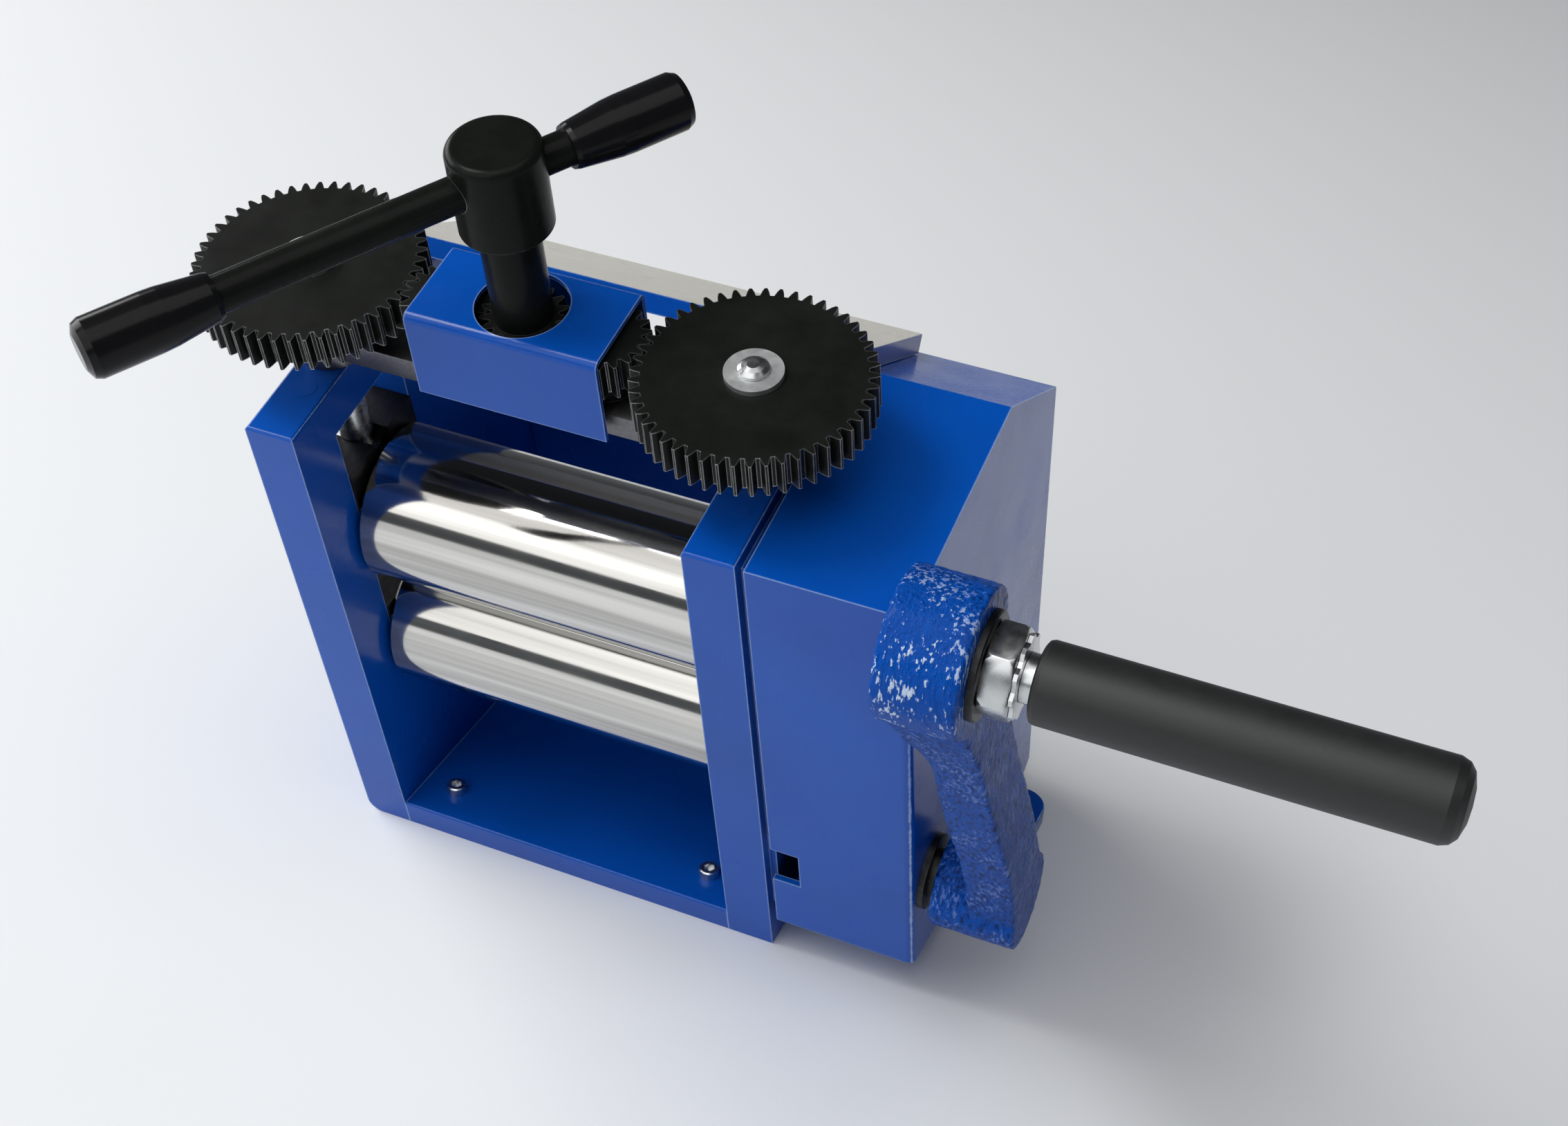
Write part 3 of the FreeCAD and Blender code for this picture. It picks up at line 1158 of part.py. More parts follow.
def crank_fittings():
    """Washer, nut and lock washer that hold the spindle to the crank hub."""
    origin = (0, HUB_Y, HUB_Z)
    bore = D["spindle_radius"] + D["press_fit"]
    outer = D["crank_washer_radius"]
    turned_part("crank_washer", [(bore, CRANK_OUT), (outer, CRANK_OUT), (outer, WASHER_OUT - 0.3),
                                 (outer - 0.3, WASHER_OUT), (bore, WASHER_OUT)],
                origin, upright=False)
    nut = body("crank_nut")
    flat = sketch(nut, "YZ_Plane", (HUB_Y, HUB_Z, WASHER_OUT))
    corner = D["nut_flat"] / math.cos(math.radians(30))
    polygon(flat, [(corner * math.cos(math.radians(60 * k + 12)),
                    corner * math.sin(math.radians(60 * k + 12))) for k in range(6)])
    pad(nut, flat, D["nut_height"])
    hole = sketch(nut, "YZ_Plane", (HUB_Y, HUB_Z, WASHER_OUT))
    circle(hole, (0, 0), bore)
    cut(nut, hole, D["nut_height"], forward=True)
    outer = D["lock_washer_radius"]
    turned_part("lock_washer", [(bore, NUT_OUT), (outer, NUT_OUT), (outer, LOCK_OUT), (bore, LOCK_OUT)],
                origin, upright=False)


def crank_handle():
    """The spindle in the crank hub and the rubber grip that spins on it."""
    origin = (0, HUB_Y, HUB_Z)
    pin, collar = D["spindle_radius"], D["collar_radius"]
    start, shoulder = CRANK_IN + 1.0, GRIP_IN - D["end_play"]
    end = GRIP_IN + D["crank_grip_length"] - 8.0
    turned_part("handle_spindle", [(0, start), (pin, start), (pin, LOCK_OUT), (collar, LOCK_OUT),
                                   (collar, shoulder), (pin, shoulder), (pin, end), (0, end)],
                origin, upright=False)
    big, bore = D["crank_grip_radius"], pin + D["slot_fit"]
    flat_end = GRIP_IN + D["crank_grip_length"]
    tip = flat_end + D["crank_grip_dome"]
    turned_part("crank_grip", [(bore, GRIP_IN), (big - 1.0, GRIP_IN), (big - 0.3, GRIP_IN + 0.4),
                               (big, GRIP_IN + 1.2), (big, flat_end), (big * 0.92, flat_end + 1.8),
                               (big * 0.75, flat_end + 3.0), (big * 0.4, tip - 0.2), (0, tip),
                               (0, end + 1.0), (bore, end + 1.0)],
                origin, upright=False)


def check_and_write():
    """Stop on any failed feature or shape, then write one STEP file for each node."""
    DOC.recompute()
    for thing in DOC.Objects:
        if "Invalid" in thing.State or "Error" in thing.State:
            raise RuntimeError(f"{thing.Label} failed: {thing.State}")
    os.makedirs("parts", exist_ok=True)
    for piece in NODES:
        shape = piece.Shape
        if shape.isNull() or not shape.isValid():
            raise RuntimeError(f"{piece.Label} has no valid shape")
        shape.exportStep(os.path.join("parts", piece.Label + ".step"))
        print(f"{piece.Label}: {len(shape.Solids)} solids, {shape.Volume:.1f} mm3")


def main():
    side_plate(1)
    side_plate(-1)
    base_plate()
    base_screws()
    foot(1)
    foot(-1)
    rear_top_plate()
    crossbar()
    crossbar_screws()
    handle_bush()
    idler_pins()
    centre_cover()
    gear_cover()
    gear_case_back()
    drive_bushes()
    bearing_blocks()
    rolls()
    roll_gears()
    reduction()
    left_shaft_cap()
    for side in (1, -1):
        big_gear(side)
        idler_gear(side)
    centre_pinion()
    pressure_screw()
    handle_shaft()
    handle_hub()
    tommy_bar()
    drive_shaft()
    crank_arm()
    crank_fittings()
    crank_handle()
    check_and_write()


main()
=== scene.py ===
import math

import bpy
from mathutils import Matrix, Vector


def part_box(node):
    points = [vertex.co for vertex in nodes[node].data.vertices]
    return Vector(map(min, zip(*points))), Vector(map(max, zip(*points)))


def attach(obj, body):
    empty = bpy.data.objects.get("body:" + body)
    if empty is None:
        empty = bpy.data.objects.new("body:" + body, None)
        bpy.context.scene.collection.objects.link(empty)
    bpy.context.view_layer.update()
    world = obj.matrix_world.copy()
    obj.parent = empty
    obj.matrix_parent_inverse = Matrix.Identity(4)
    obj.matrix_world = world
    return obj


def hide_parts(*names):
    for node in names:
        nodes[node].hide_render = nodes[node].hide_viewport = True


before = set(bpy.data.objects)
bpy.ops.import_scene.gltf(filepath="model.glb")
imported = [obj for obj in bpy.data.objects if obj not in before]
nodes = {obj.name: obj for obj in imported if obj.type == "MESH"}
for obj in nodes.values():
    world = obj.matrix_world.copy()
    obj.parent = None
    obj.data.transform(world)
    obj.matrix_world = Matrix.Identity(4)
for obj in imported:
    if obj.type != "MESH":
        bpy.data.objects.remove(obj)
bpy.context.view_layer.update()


# ---------------------------------------------------------------- table, light and camera
# The mill stands on a wide pale table in a dim room. A window lights it from the
# left, a large screen from the front left, and a screen and a small lamp from above.

def new_material(name):
    material = bpy.data.materials.new(name)
    material.use_nodes = True
    tree = material.node_tree
    shader = tree.nodes["Principled BSDF"]
    return material, tree, shader


def put(tree, kind, **settings):
    """Add a node, with its sockets and its own settings given by name."""
    node = tree.nodes.new(kind)
    for name, value in settings.items():
        if name in node.inputs:
            node.inputs[name].default_value = value
        else:
            setattr(node, name, value)
    return node


def remap(tree, value, source=(0.0, 1.0), target=(0.0, 1.0)):
    """Stretch a value from one range on to another, and hold it inside."""
    node = put(tree, "ShaderNodeMapRange")
    node.inputs["From Min"].default_value = source[0]
    node.inputs["From Max"].default_value = source[1]
    node.inputs["To Min"].default_value = target[0]
    node.inputs["To Max"].default_value = target[1]
    tree.links.new(value, node.inputs["Value"])
    return node.outputs["Result"]


def blend(tree, share, first, second):
    """Go from the first colour to the second by a share. A colour is a tuple or a socket."""
    node = put(tree, "ShaderNodeMix", data_type="RGBA")
    tree.links.new(share, node.inputs[0])
    for socket, colour in ((node.inputs[6], first), (node.inputs[7], second)):
        if isinstance(colour, tuple):
            socket.default_value = (*colour, 1)
        else:
            tree.links.new(colour, socket)
    return node.outputs[2]


table_size = 6
bpy.ops.object.select_all(action="DESELECT")
bpy.ops.mesh.primitive_plane_add(size=table_size, location=(0, 0, 0))
table = bpy.context.object
table.name = "table_top"
table_paper, tree, shader = new_material("pale_table")
shader.inputs["Base Color"].default_value = (0.80, 0.82, 0.84, 1)
shader.inputs["Roughness"].default_value = 0.7
shader.inputs["Specular IOR Level"].default_value = 0.05
table.data.materials.append(table_paper)

room_walls, room_ceiling = (0.11, 0.12, 0.13), (0.012, 0.013, 0.015)
room = bpy.data.worlds.new("pale_room")
room.use_nodes = True
bpy.context.scene.world = room
tree = room.node_tree
glow = tree.nodes["Background"]
way = put(tree, "ShaderNodeTexCoord")
split = put(tree, "ShaderNodeSeparateXYZ")
tree.links.new(way.outputs["Generated"], split.inputs[0])
height = remap(tree, split.outputs["Z"], source=(0.1, 0.7))
tree.links.new(blend(tree, height, room_walls, room_ceiling), glow.inputs["Color"])


def soft_lamp(name, place, aim, size, power, tint):
    lamp = bpy.data.lights.new(name, "AREA")
    lamp.shape = "RECTANGLE"
    lamp.size, lamp.size_y = size
    lamp.energy = power
    lamp.color = tint
    holder = bpy.data.objects.new(name, lamp)
    bpy.context.scene.collection.objects.link(holder)
    holder.location = place
    holder.rotation_euler = (Vector(aim) - Vector(place)).to_track_quat("-Z", "Y").to_euler()


soft_lamp("left_window", (-1.5, 0.15, 0.78), (0, 0, 0.05), (1.5, 0.8), 18.5, (1.0, 0.995, 0.98))
soft_lamp("front_screen", (-0.5, -1.35, 1.3), (0, 0, 0.1), (2.1, 2.0), 19, (1.0, 0.995, 0.985))
soft_lamp("ceiling_screen", (0.4, -0.5, 1.75), (0, 0, 0.1), (1.6, 1.4), 9, (1.0, 0.998, 0.99))
soft_lamp("key_lamp", (-0.62, -0.42, 1.32), (0, 0, 0.1), (0.5, 0.4), 6.5, (1.0, 0.998, 0.99))

eye = bpy.data.cameras.new("camera")
eye.lens = 51.235
eye.sensor_width = 36
camera = bpy.data.objects.new("camera", eye)
bpy.context.scene.collection.objects.link(camera)
camera.location = (0.19568, -0.44062, 0.38923)
camera.rotation_euler = (math.radians(56.3441), math.radians(-3.731), math.radians(22.5414))
bpy.context.scene.camera = camera
bpy.context.scene.view_settings.view_transform = "Standard"


# ---------------------------------------------------------------- side plates, base and feet
# Thick steel side plates on a base plate with two feet, powder coated a glossy cobalt
# blue. The coat has a fine orange peel. Its sharp edges and folds are rubbed pale, and the pale is also a
# painted highlight.

# The frame leans forward over its base, and its rear slope falls from the leaning top.
lean_angle, slope_angle = 17, 37.05
LEAN, SLOPE = math.radians(lean_angle), math.radians(lean_angle - slope_angle)
mill_up = (0, -math.sin(LEAN), math.cos(LEAN))
mill_rear = (0, math.cos(LEAN), math.sin(LEAN))
slope_up = (0, -math.sin(SLOPE), math.cos(SLOPE))
slope_rear = (0, math.cos(SLOPE), math.sin(SLOPE))
frame_faces = ((1, 0, 0), (0, 0, 1), mill_rear, mill_up, slope_up, slope_rear)

cobalt = (0.0008, 0.066, 0.38), (0.0012, 0.082, 0.46)
# The pale blue of the edges and folds is wear and also a painted highlight.
rubbed_and_highlight_blue = (0.42, 0.58, 0.86)


def noise(tree, place, scale, detail, roughness=0.5):
    node = put(tree, "ShaderNodeTexNoise", Scale=scale, Detail=detail, Roughness=roughness)
    tree.links.new(place, node.inputs["Vector"])
    return node.outputs["Fac"]


def maths(tree, operation, *values):
    """A sum, product or the like of values that are each a number or a socket."""
    node = put(tree, "ShaderNodeMath", operation=operation)
    for socket, value in zip(node.inputs, values):
        if isinstance(value, (int, float)):
            socket.default_value = value
        else:
            tree.links.new(value, socket)
    return node.outputs[0]


def facing(tree, normal, direction):
    """How squarely a surface faces along a direction, from either side."""
    dot = put(tree, "ShaderNodeVectorMath", operation="DOT_PRODUCT")
    dot.inputs[1].default_value = direction
    tree.links.new(normal, dot.inputs[0])
    return maths(tree, "ABSOLUTE", dot.outputs["Value"])


def worn_and_highlit_edges(tree, place, radius, low):
    """A mask of wear and painted highlight that is 1 along sharp outside edges, broken up by a fine noise.
    """
    rounded = put(tree, "ShaderNodeBevel", samples=6, Radius=radius)
    true = put(tree, "ShaderNodeNewGeometry")
    dot = put(tree, "ShaderNodeVectorMath", operation="DOT_PRODUCT")
    tree.links.new(rounded.outputs["Normal"], dot.inputs[0])
    tree.links.new(true.outputs["Normal"], dot.inputs[1])
    grain = noise(tree, place, scale=420.0, detail=4.0, roughness=0.7)
    spread = maths(tree, "MULTIPLY_ADD", grain, 0.16, -0.08)
    return remap(tree, maths(tree, "ADD", dot.outputs["Value"], spread), source=(0.93, low))


def rubbed_and_highlit_folds(tree, place, normal):
    """A mask of wear and painted highlight that is 1 on the rounded folds between the flat faces of the
    frame.
    """
    flat = facing(tree, normal, frame_faces[0])
    for direction in frame_faces[1:]:
        flat = maths(tree, "MAXIMUM", flat, facing(tree, normal, direction))
    grain = noise(tree, place, scale=520.0, detail=4.0, roughness=0.75)
    return remap(tree, maths(tree, "MULTIPLY_ADD", grain, 0.3, flat), source=(0.98, 0.89))


def lay_skin(tree, shader, colour, gloss, relief, strength, depth):
    """Give a shader its colour, its roughness and a fine relief, each from a socket."""
    bump = put(tree, "ShaderNodeBump", Strength=strength, Distance=depth)
    tree.links.new(relief, bump.inputs["Height"])
    tree.links.new(colour, shader.inputs["Base Color"])
    tree.links.new(gloss, shader.inputs["Roughness"])
    tree.links.new(bump.outputs["Normal"], shader.inputs["Normal"])


def powder_coat(name, peel=0.12, wear_and_highlight=0.75, mottle=0.25):
    material, tree, shader = new_material(name)
    where = put(tree, "ShaderNodeTexCoord").outputs
    cloud = noise(tree, where["Object"], scale=22.0, detail=3.0)
    tone = blend(tree, remap(tree, cloud, source=(0.5 - mottle, 0.5 + mottle)), *cobalt)
    edges = worn_and_highlit_edges(tree, where["Object"], radius=0.0007, low=0.82)
    folds = rubbed_and_highlit_folds(tree, where["Object"], where["Normal"])
    # Edges and folds are painted pale: wear, and a painted highlight.
    rubbed_and_highlit = maths(tree, "MULTIPLY", maths(tree, "MAXIMUM", edges, folds), wear_and_highlight)
    smear = noise(tree, where["Object"], scale=70.0, detail=2.0)
    pebble = noise(tree, where["Object"], scale=650.0, detail=2.0, roughness=0.4)
    lay_skin(tree, shader, blend(tree, rubbed_and_highlit, tone, rubbed_and_highlight_blue), remap(tree, smear, target=(0.16, 0.34)),
             pebble, strength=peel, depth=0.0003)
    shader.inputs["Specular IOR Level"].default_value = 0.25
    shader.inputs["Coat Weight"].default_value = 0.12
    shader.inputs["Coat Roughness"].default_value = 0.12
    return material


def finish_node(material, *names):
    for name in names:
        mesh = nodes[name].data
        mesh.materials.clear()
        mesh.materials.append(material)


frame_blue = powder_coat("cobalt_powder_coat")
finish_node(frame_blue, "side_plate_left", "side_plate_right", "base_plate", "foot_left",
            "foot_right", "left_shaft_cap")


# ---------------------------------------------------------------- gear case
# A folded sheet steel cover over the roll gears, with a backing sheet behind it.
# Both have the same coat as the frame, with a little more orange peel.

case_blue = powder_coat("cobalt_sheet_coat", peel=0.16, mottle=0.2)
finish_node(case_blue, "gear_cover", "gear_case_back")


# ---------------------------------------------------------------- centre cover
# A thin folded hood over the middle gears, slipped over the crossbar.
# Its folds get a little less wear and painted highlight than the plates.

hood_blue = powder_coat("cobalt_hood_coat", wear_and_highlight=0.6)
finish_node(hood_blue, "centre_cover")


# ---------------------------------------------------------------- rear guard
# A flat painted steel plate between the side plates at the back, from the base up to
# just below the gap of the rolls. It closes the space behind the lower roll.

# A leaning piece is made upright, measured from the front bottom corners of the side
# plates. LIFT then turns it by the lean and moves it forward to where they stand.
corner_y = -0.050193
LIFT = Matrix.Translation((0, corner_y, 0)) @ Matrix.Rotation(LEAN, 4, "X")
guard_place, guard_size, guard_rim = (0, 0.0925, 0.0275), (0.0918, 0.006, 0.093), 0.0006
base_top = 0.0081


def solid(mesh_add, **place):
    """Add one primitive and leave it selected by itself."""
    bpy.ops.object.select_all(action="DESELECT")
    mesh_add(**place)
    return bpy.context.object


def settle(piece, matrix):
    """Bring a piece to its place with its object left at the origin."""
    piece.data.transform(matrix @ piece.matrix_world)
    piece.matrix_world = Matrix.Identity(4)


def shape(piece, kind, **settings):
    """Put a modifier on the active piece and apply it."""
    step = piece.modifiers.new("step", kind)
    for name, value in settings.items():
        setattr(step, name, value)
    bpy.ops.object.modifier_apply(modifier=step.name)


def finish_piece(piece, material):
    piece.data.materials.clear()
    piece.data.materials.append(material)


guard = solid(bpy.ops.mesh.primitive_cube_add, size=1, location=guard_place, scale=guard_size)
guard.name = "rear_guard"
settle(guard, LIFT)
bpy.ops.object.mode_set(mode="EDIT")
bpy.ops.mesh.select_all(action="SELECT")
bpy.ops.mesh.bisect(plane_co=(0, 0, base_top), plane_no=(0, 0, 1), clear_inner=True, use_fill=True)
bpy.ops.object.mode_set(mode="OBJECT")
shape(guard, "BEVEL", width=guard_rim, segments=3)
bpy.ops.object.shade_smooth_by_angle(angle=math.radians(40))
finish_piece(guard, frame_blue)
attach(guard, "frame")


# ---------------------------------------------------------------- rear top plate
# A flat steel plate on the rear slope that ties the side plates together. Its two
# ground faces are left bare under a thin clear coat, and its edges are painted.

bare_steel = (0.50, 0.48, 0.43), (0.66, 0.64, 0.58)


def stretched(tree, place, scale, turn=(0, 0, 0)):
    """The same place, scaled and turned so that a pattern runs in lines."""
    node = put(tree, "ShaderNodeMapping", Scale=scale, Rotation=turn)
    tree.links.new(place, node.inputs["Vector"])
    return node.outputs["Vector"]


def ground_plate(name):
    material = powder_coat(name)
    tree = material.node_tree
    shader = tree.nodes["Principled BSDF"]
    where = put(tree, "ShaderNodeTexCoord").outputs
    flat = remap(tree, facing(tree, where["Normal"], slope_up), source=(0.93, 0.99))
    lines = noise(tree, stretched(tree, where["Object"], (0.05, 1, 1)), scale=1500.0, detail=3.0)
    painted = shader.inputs["Base Color"].links[0].from_socket
    colour = blend(tree, flat, painted, blend(tree, lines, *bare_steel))
    tree.links.new(colour, shader.inputs["Base Color"])
    return material


finish_node(ground_plate("ground_rear_plate"), "rear_top_plate")


# ---------------------------------------------------------------- bearing blocks
# Milled from steel and coloured near black. The lower pair stands in the windows of the side
# plates and the upper pair slides in them. The bush of the handle and the inner bush
# of the drive shaft are bronze.

def milled_steel(name, dark, light, rough, scratch):
    material, tree, shader = new_material(name)
    where = put(tree, "ShaderNodeTexCoord").outputs
    lines = noise(tree, stretched(tree, where["Object"], (1, 0.06, 1)), scale=1100.0, detail=4.0)
    stain = noise(tree, where["Object"], scale=160.0, detail=3.0)
    gloss = remap(tree, stain, target=(rough - 0.08, rough + 0.12))
    lay_skin(tree, shader, blend(tree, lines, dark, light), gloss, lines, strength=scratch, depth=0.0001)
    shader.inputs["Metallic"].default_value = 1.0
    return material


milled_block = milled_steel("milled_block", (0.014, 0.015, 0.017), (0.05, 0.05, 0.055), 0.42, 0.3)
finish_node(milled_block, "lower_block_left", "lower_block_right", "upper_block_left", "upper_block_right")
bearing_bronze = milled_steel("bearing_bronze", (0.42, 0.27, 0.12), (0.62, 0.44, 0.22), 0.3, 0.2)
finish_node(bearing_bronze, "handle_bush", "drive_bush_inner")


# ---------------------------------------------------------------- crossbar
# A rolled steel bar over the side plates, with a wider middle inside the hood.
# It stands on two round collars that the pressure screws pass through.

screw_x, bar_y, bar_z = 0.052, 0.0283, 0.154
bar_size, bar_middle_size, bar_rim = (0.116, 0.0162, 0.006), (0.032, 0.0199, 0.0058), 0.0004
collar_radius, collar_height, collar_z = 0.0073, 0.0061, 0.14805


def joined(first, *others):
    bpy.ops.object.select_all(action="DESELECT")
    for piece in (first, *others):
        piece.select_set(True)
    bpy.context.view_layer.objects.active = first
    bpy.ops.object.join()
    return first


bar, middle = [solid(bpy.ops.mesh.primitive_cube_add, size=1, location=(0, bar_y, bar_z), scale=size)
               for size in (bar_size, bar_middle_size)]
bar.name = "crossbar_on_collars"
collars = [solid(bpy.ops.mesh.primitive_cylinder_add, vertices=48, radius=collar_radius,
                 depth=collar_height, location=(side * screw_x, bar_y, collar_z)) for side in (-1, 1)]
joined(bar, middle, *collars)
settle(bar, LIFT)
shape(bar, "BEVEL", width=bar_rim, segments=2)
bpy.ops.object.shade_smooth_by_angle(angle=math.radians(35))
finish_piece(bar, milled_steel("rolled_bar", (0.10, 0.10, 0.11), (0.22, 0.22, 0.23), 0.42, 0.25))
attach(bar, "frame")
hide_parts("crossbar", "crossbar_screws")


# ---------------------------------------------------------------- plugs of the side plates
# Each side plate has two tapped holes in its top that carry nothing here. They
# are filled flush and painted over with the plate.

plug_radius, plug_depth, plug_z = 0.0030, 0.004, 0.14305
plug_from_screw = 0.0132

plugs = [solid(bpy.ops.mesh.primitive_cylinder_add, vertices=32, radius=plug_radius, depth=plug_depth,
               location=(side * screw_x, bar_y + way * plug_from_screw, plug_z))
         for side in (-1, 1) for way in (-1, 1)]
joined(*plugs)
plugs[0].name = "plate_plugs"
settle(plugs[0], LIFT)
finish_piece(plugs[0], powder_coat("cobalt_plug_coat", wear_and_highlight=0.0))
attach(plugs[0], "frame")


# ---------------------------------------------------------------- rolls
# Hardened steel rolls, ground and polished to a mirror, with very fine grinding
# lines round them, soft streaks along them and a haze of handling marks.

def polished_roll(name):
    material, tree, shader = new_material(name)
    where = put(tree, "ShaderNodeTexCoord").outputs
    rings = noise(tree, stretched(tree, where["Object"], (1, 0.01, 0.01)), scale=2600.0, detail=3.0)
    along = stretched(tree, where["Object"], (0.012, 1, 1))
    streak = remap(tree, noise(tree, along, scale=190.0, detail=3.0, roughness=0.6), source=(0.40, 0.60))
    haze = noise(tree, where["Object"], scale=45.0, detail=5.0)
    gloss = remap(tree, haze, source=(0.35, 0.75), target=(0.07, 0.15))
    tone = blend(tree, streak, (0.44, 0.43, 0.41), (0.72, 0.71, 0.68))
    lay_skin(tree, shader, tone, gloss, rings, strength=0.05, depth=0.00005)
    shader.inputs["Metallic"].default_value = 1.0
    return material


finish_node(polished_roll("polished_roll"), "upper_roll", "lower_roll")


# ---------------------------------------------------------------- gears and T-handle
# Steel blackened in hot oil to a soft satin, a little uneven. The corners of
# the teeth and of the handle are rubbed back to bright steel, which is also a painted highlight.

blackened = (0.0035, 0.0042, 0.0036), (0.012, 0.0135, 0.012)
# Bright steel of the rubbed corners, which is also a painted highlight.
rubbed_and_highlight_steel = (0.62, 0.63, 0.62)


def blackened_steel(name, wear_and_highlight, edge, rough=0.36, mark=0.2, shine=0.14, flat_wear_and_highlight=1.0):
    material, tree, shader = new_material(name)
    where = put(tree, "ShaderNodeTexCoord").outputs
    patch = noise(tree, where["Object"], scale=110.0, detail=6.0, roughness=0.65)
    edges = worn_and_highlit_edges(tree, where["Object"], edge, low=0.80)
    # The bright edges are wear and a painted highlight, kept dim on faces that lie across the lean.
    sides = remap(tree, facing(tree, where["Normal"], mill_up), source=(0.5, 0.9),
                  target=(wear_and_highlight, wear_and_highlight * flat_wear_and_highlight))
    rubbed_and_highlit = maths(tree, "MULTIPLY", edges, sides)
    colour = blend(tree, rubbed_and_highlit, blend(tree, patch, *blackened), rubbed_and_highlight_steel)
    grit = noise(tree, where["Object"], scale=1300.0, detail=2.0)
    lay_skin(tree, shader, colour, remap(tree, patch, target=(rough - 0.1, rough + 0.12)), grit,
             strength=mark, depth=0.0001)
    tree.links.new(maths(tree, "MULTIPLY", rubbed_and_highlit, 0.9), shader.inputs["Metallic"])
    shader.inputs["Specular IOR Level"].default_value = shine
    return material


gear_black = blackened_steel("blackened_gear", 0.95, edge=0.0005, flat_wear_and_highlight=0.12)
finish_node(gear_black, "big_gear_left", "big_gear_right", "idler_gear_left", "idler_gear_right",
            "centre_pinion", "upper_roll_gear", "lower_roll_gear", "reduction_gear", "drive_pinion")
handle_black = blackened_steel("blackened_handle", 0.25, edge=0.0006, rough=0.26, mark=0.12, shine=0.07)
finish_node(handle_black, "handle_shaft", "handle_hub", "tommy_bar")


# ---------------------------------------------------------------- tommy bar grips
# Moulded in glossy black plastic, pushed on to the ends of the bar.
# The gloss is a little uneven where the plastic flowed.

def moulded_plastic(name):
    material, tree, shader = new_material(name)
    where = put(tree, "ShaderNodeTexCoord").outputs
    flow = noise(tree, where["Object"], scale=60.0, detail=3.0)
    tone = blend(tree, flow, (0.004, 0.004, 0.0045), (0.009, 0.009, 0.010))
    lay_skin(tree, shader, tone, remap(tree, flow, target=(0.12, 0.26)), flow, strength=0.06, depth=0.0002)
    shader.inputs["Specular IOR Level"].default_value = 0.15
    return material


finish_node(moulded_plastic("gloss_grip"), "grip_front", "grip_rear")


# ---------------------------------------------------------------- screws, washers and pins
# Zinc plated steel, bright with a slightly blue cast and a fine spangle. The drive
# shaft, its outer bush and the crank washer are plain steel, oiled dark.

def zinc_plate(name, light=(0.72, 0.74, 0.75), rough=0.24):
    material, tree, shader = new_material(name)
    where = put(tree, "ShaderNodeTexCoord").outputs
    spangle = noise(tree, where["Object"], scale=380.0, detail=5.0, roughness=0.6)
    tone = blend(tree, spangle, (0.50, 0.52, 0.53), light)
    gloss = remap(tree, spangle, target=(rough - 0.08, rough + 0.16))
    lay_skin(tree, shader, tone, gloss, spangle, strength=0.06, depth=0.0001)
    shader.inputs["Metallic"].default_value = 1.0
    return material


zinc = zinc_plate("zinc_plate")
finish_node(zinc, "base_screws", "idler_pins", "pressure_screw_left",
            "pressure_screw_right", "crank_nut", "lock_washer", "handle_spindle")
satin_zinc = zinc_plate("satin_zinc", light=(0.70, 0.71, 0.71), rough=0.46)
finish_node(satin_zinc, "gear_washer_left", "gear_washer_right")
oiled = milled_steel("oiled_steel", (0.02, 0.02, 0.021), (0.07, 0.07, 0.072), 0.4, 0.2)
finish_node(oiled, "drive_shaft", "drive_bush_outer", "crank_washer")


# ---------------------------------------------------------------- crank arm
# A grey iron casting: a round hub for the grip spindle, a web that bends outwards
# and a boss on the drive shaft. Its rough sand-cast skin shows through the blue coat.
# The hollows of the skin are painted darker as shade, and its peaks carry pale painted
# highlights, thickest on the front of the hub.

cast_blue = (0.0010, 0.055, 0.33), (0.0016, 0.080, 0.44)
# A darker blue for painted shade in the hollows of the skin.
pit_shade_blue = (0.0004, 0.010, 0.060)
# The pale blue of the painted highlight flecks.
painted_glint_blue = (0.62, 0.74, 0.90)
# The painted highlights are thickest round a spot on the front of the hub, placed from the spindle.
glint_spot_x, glint_spot_forward, glint_spot_up = 0.103, 0.010, 0.002
glint_spot_inner, glint_spot_outer = 0.011, 0.020


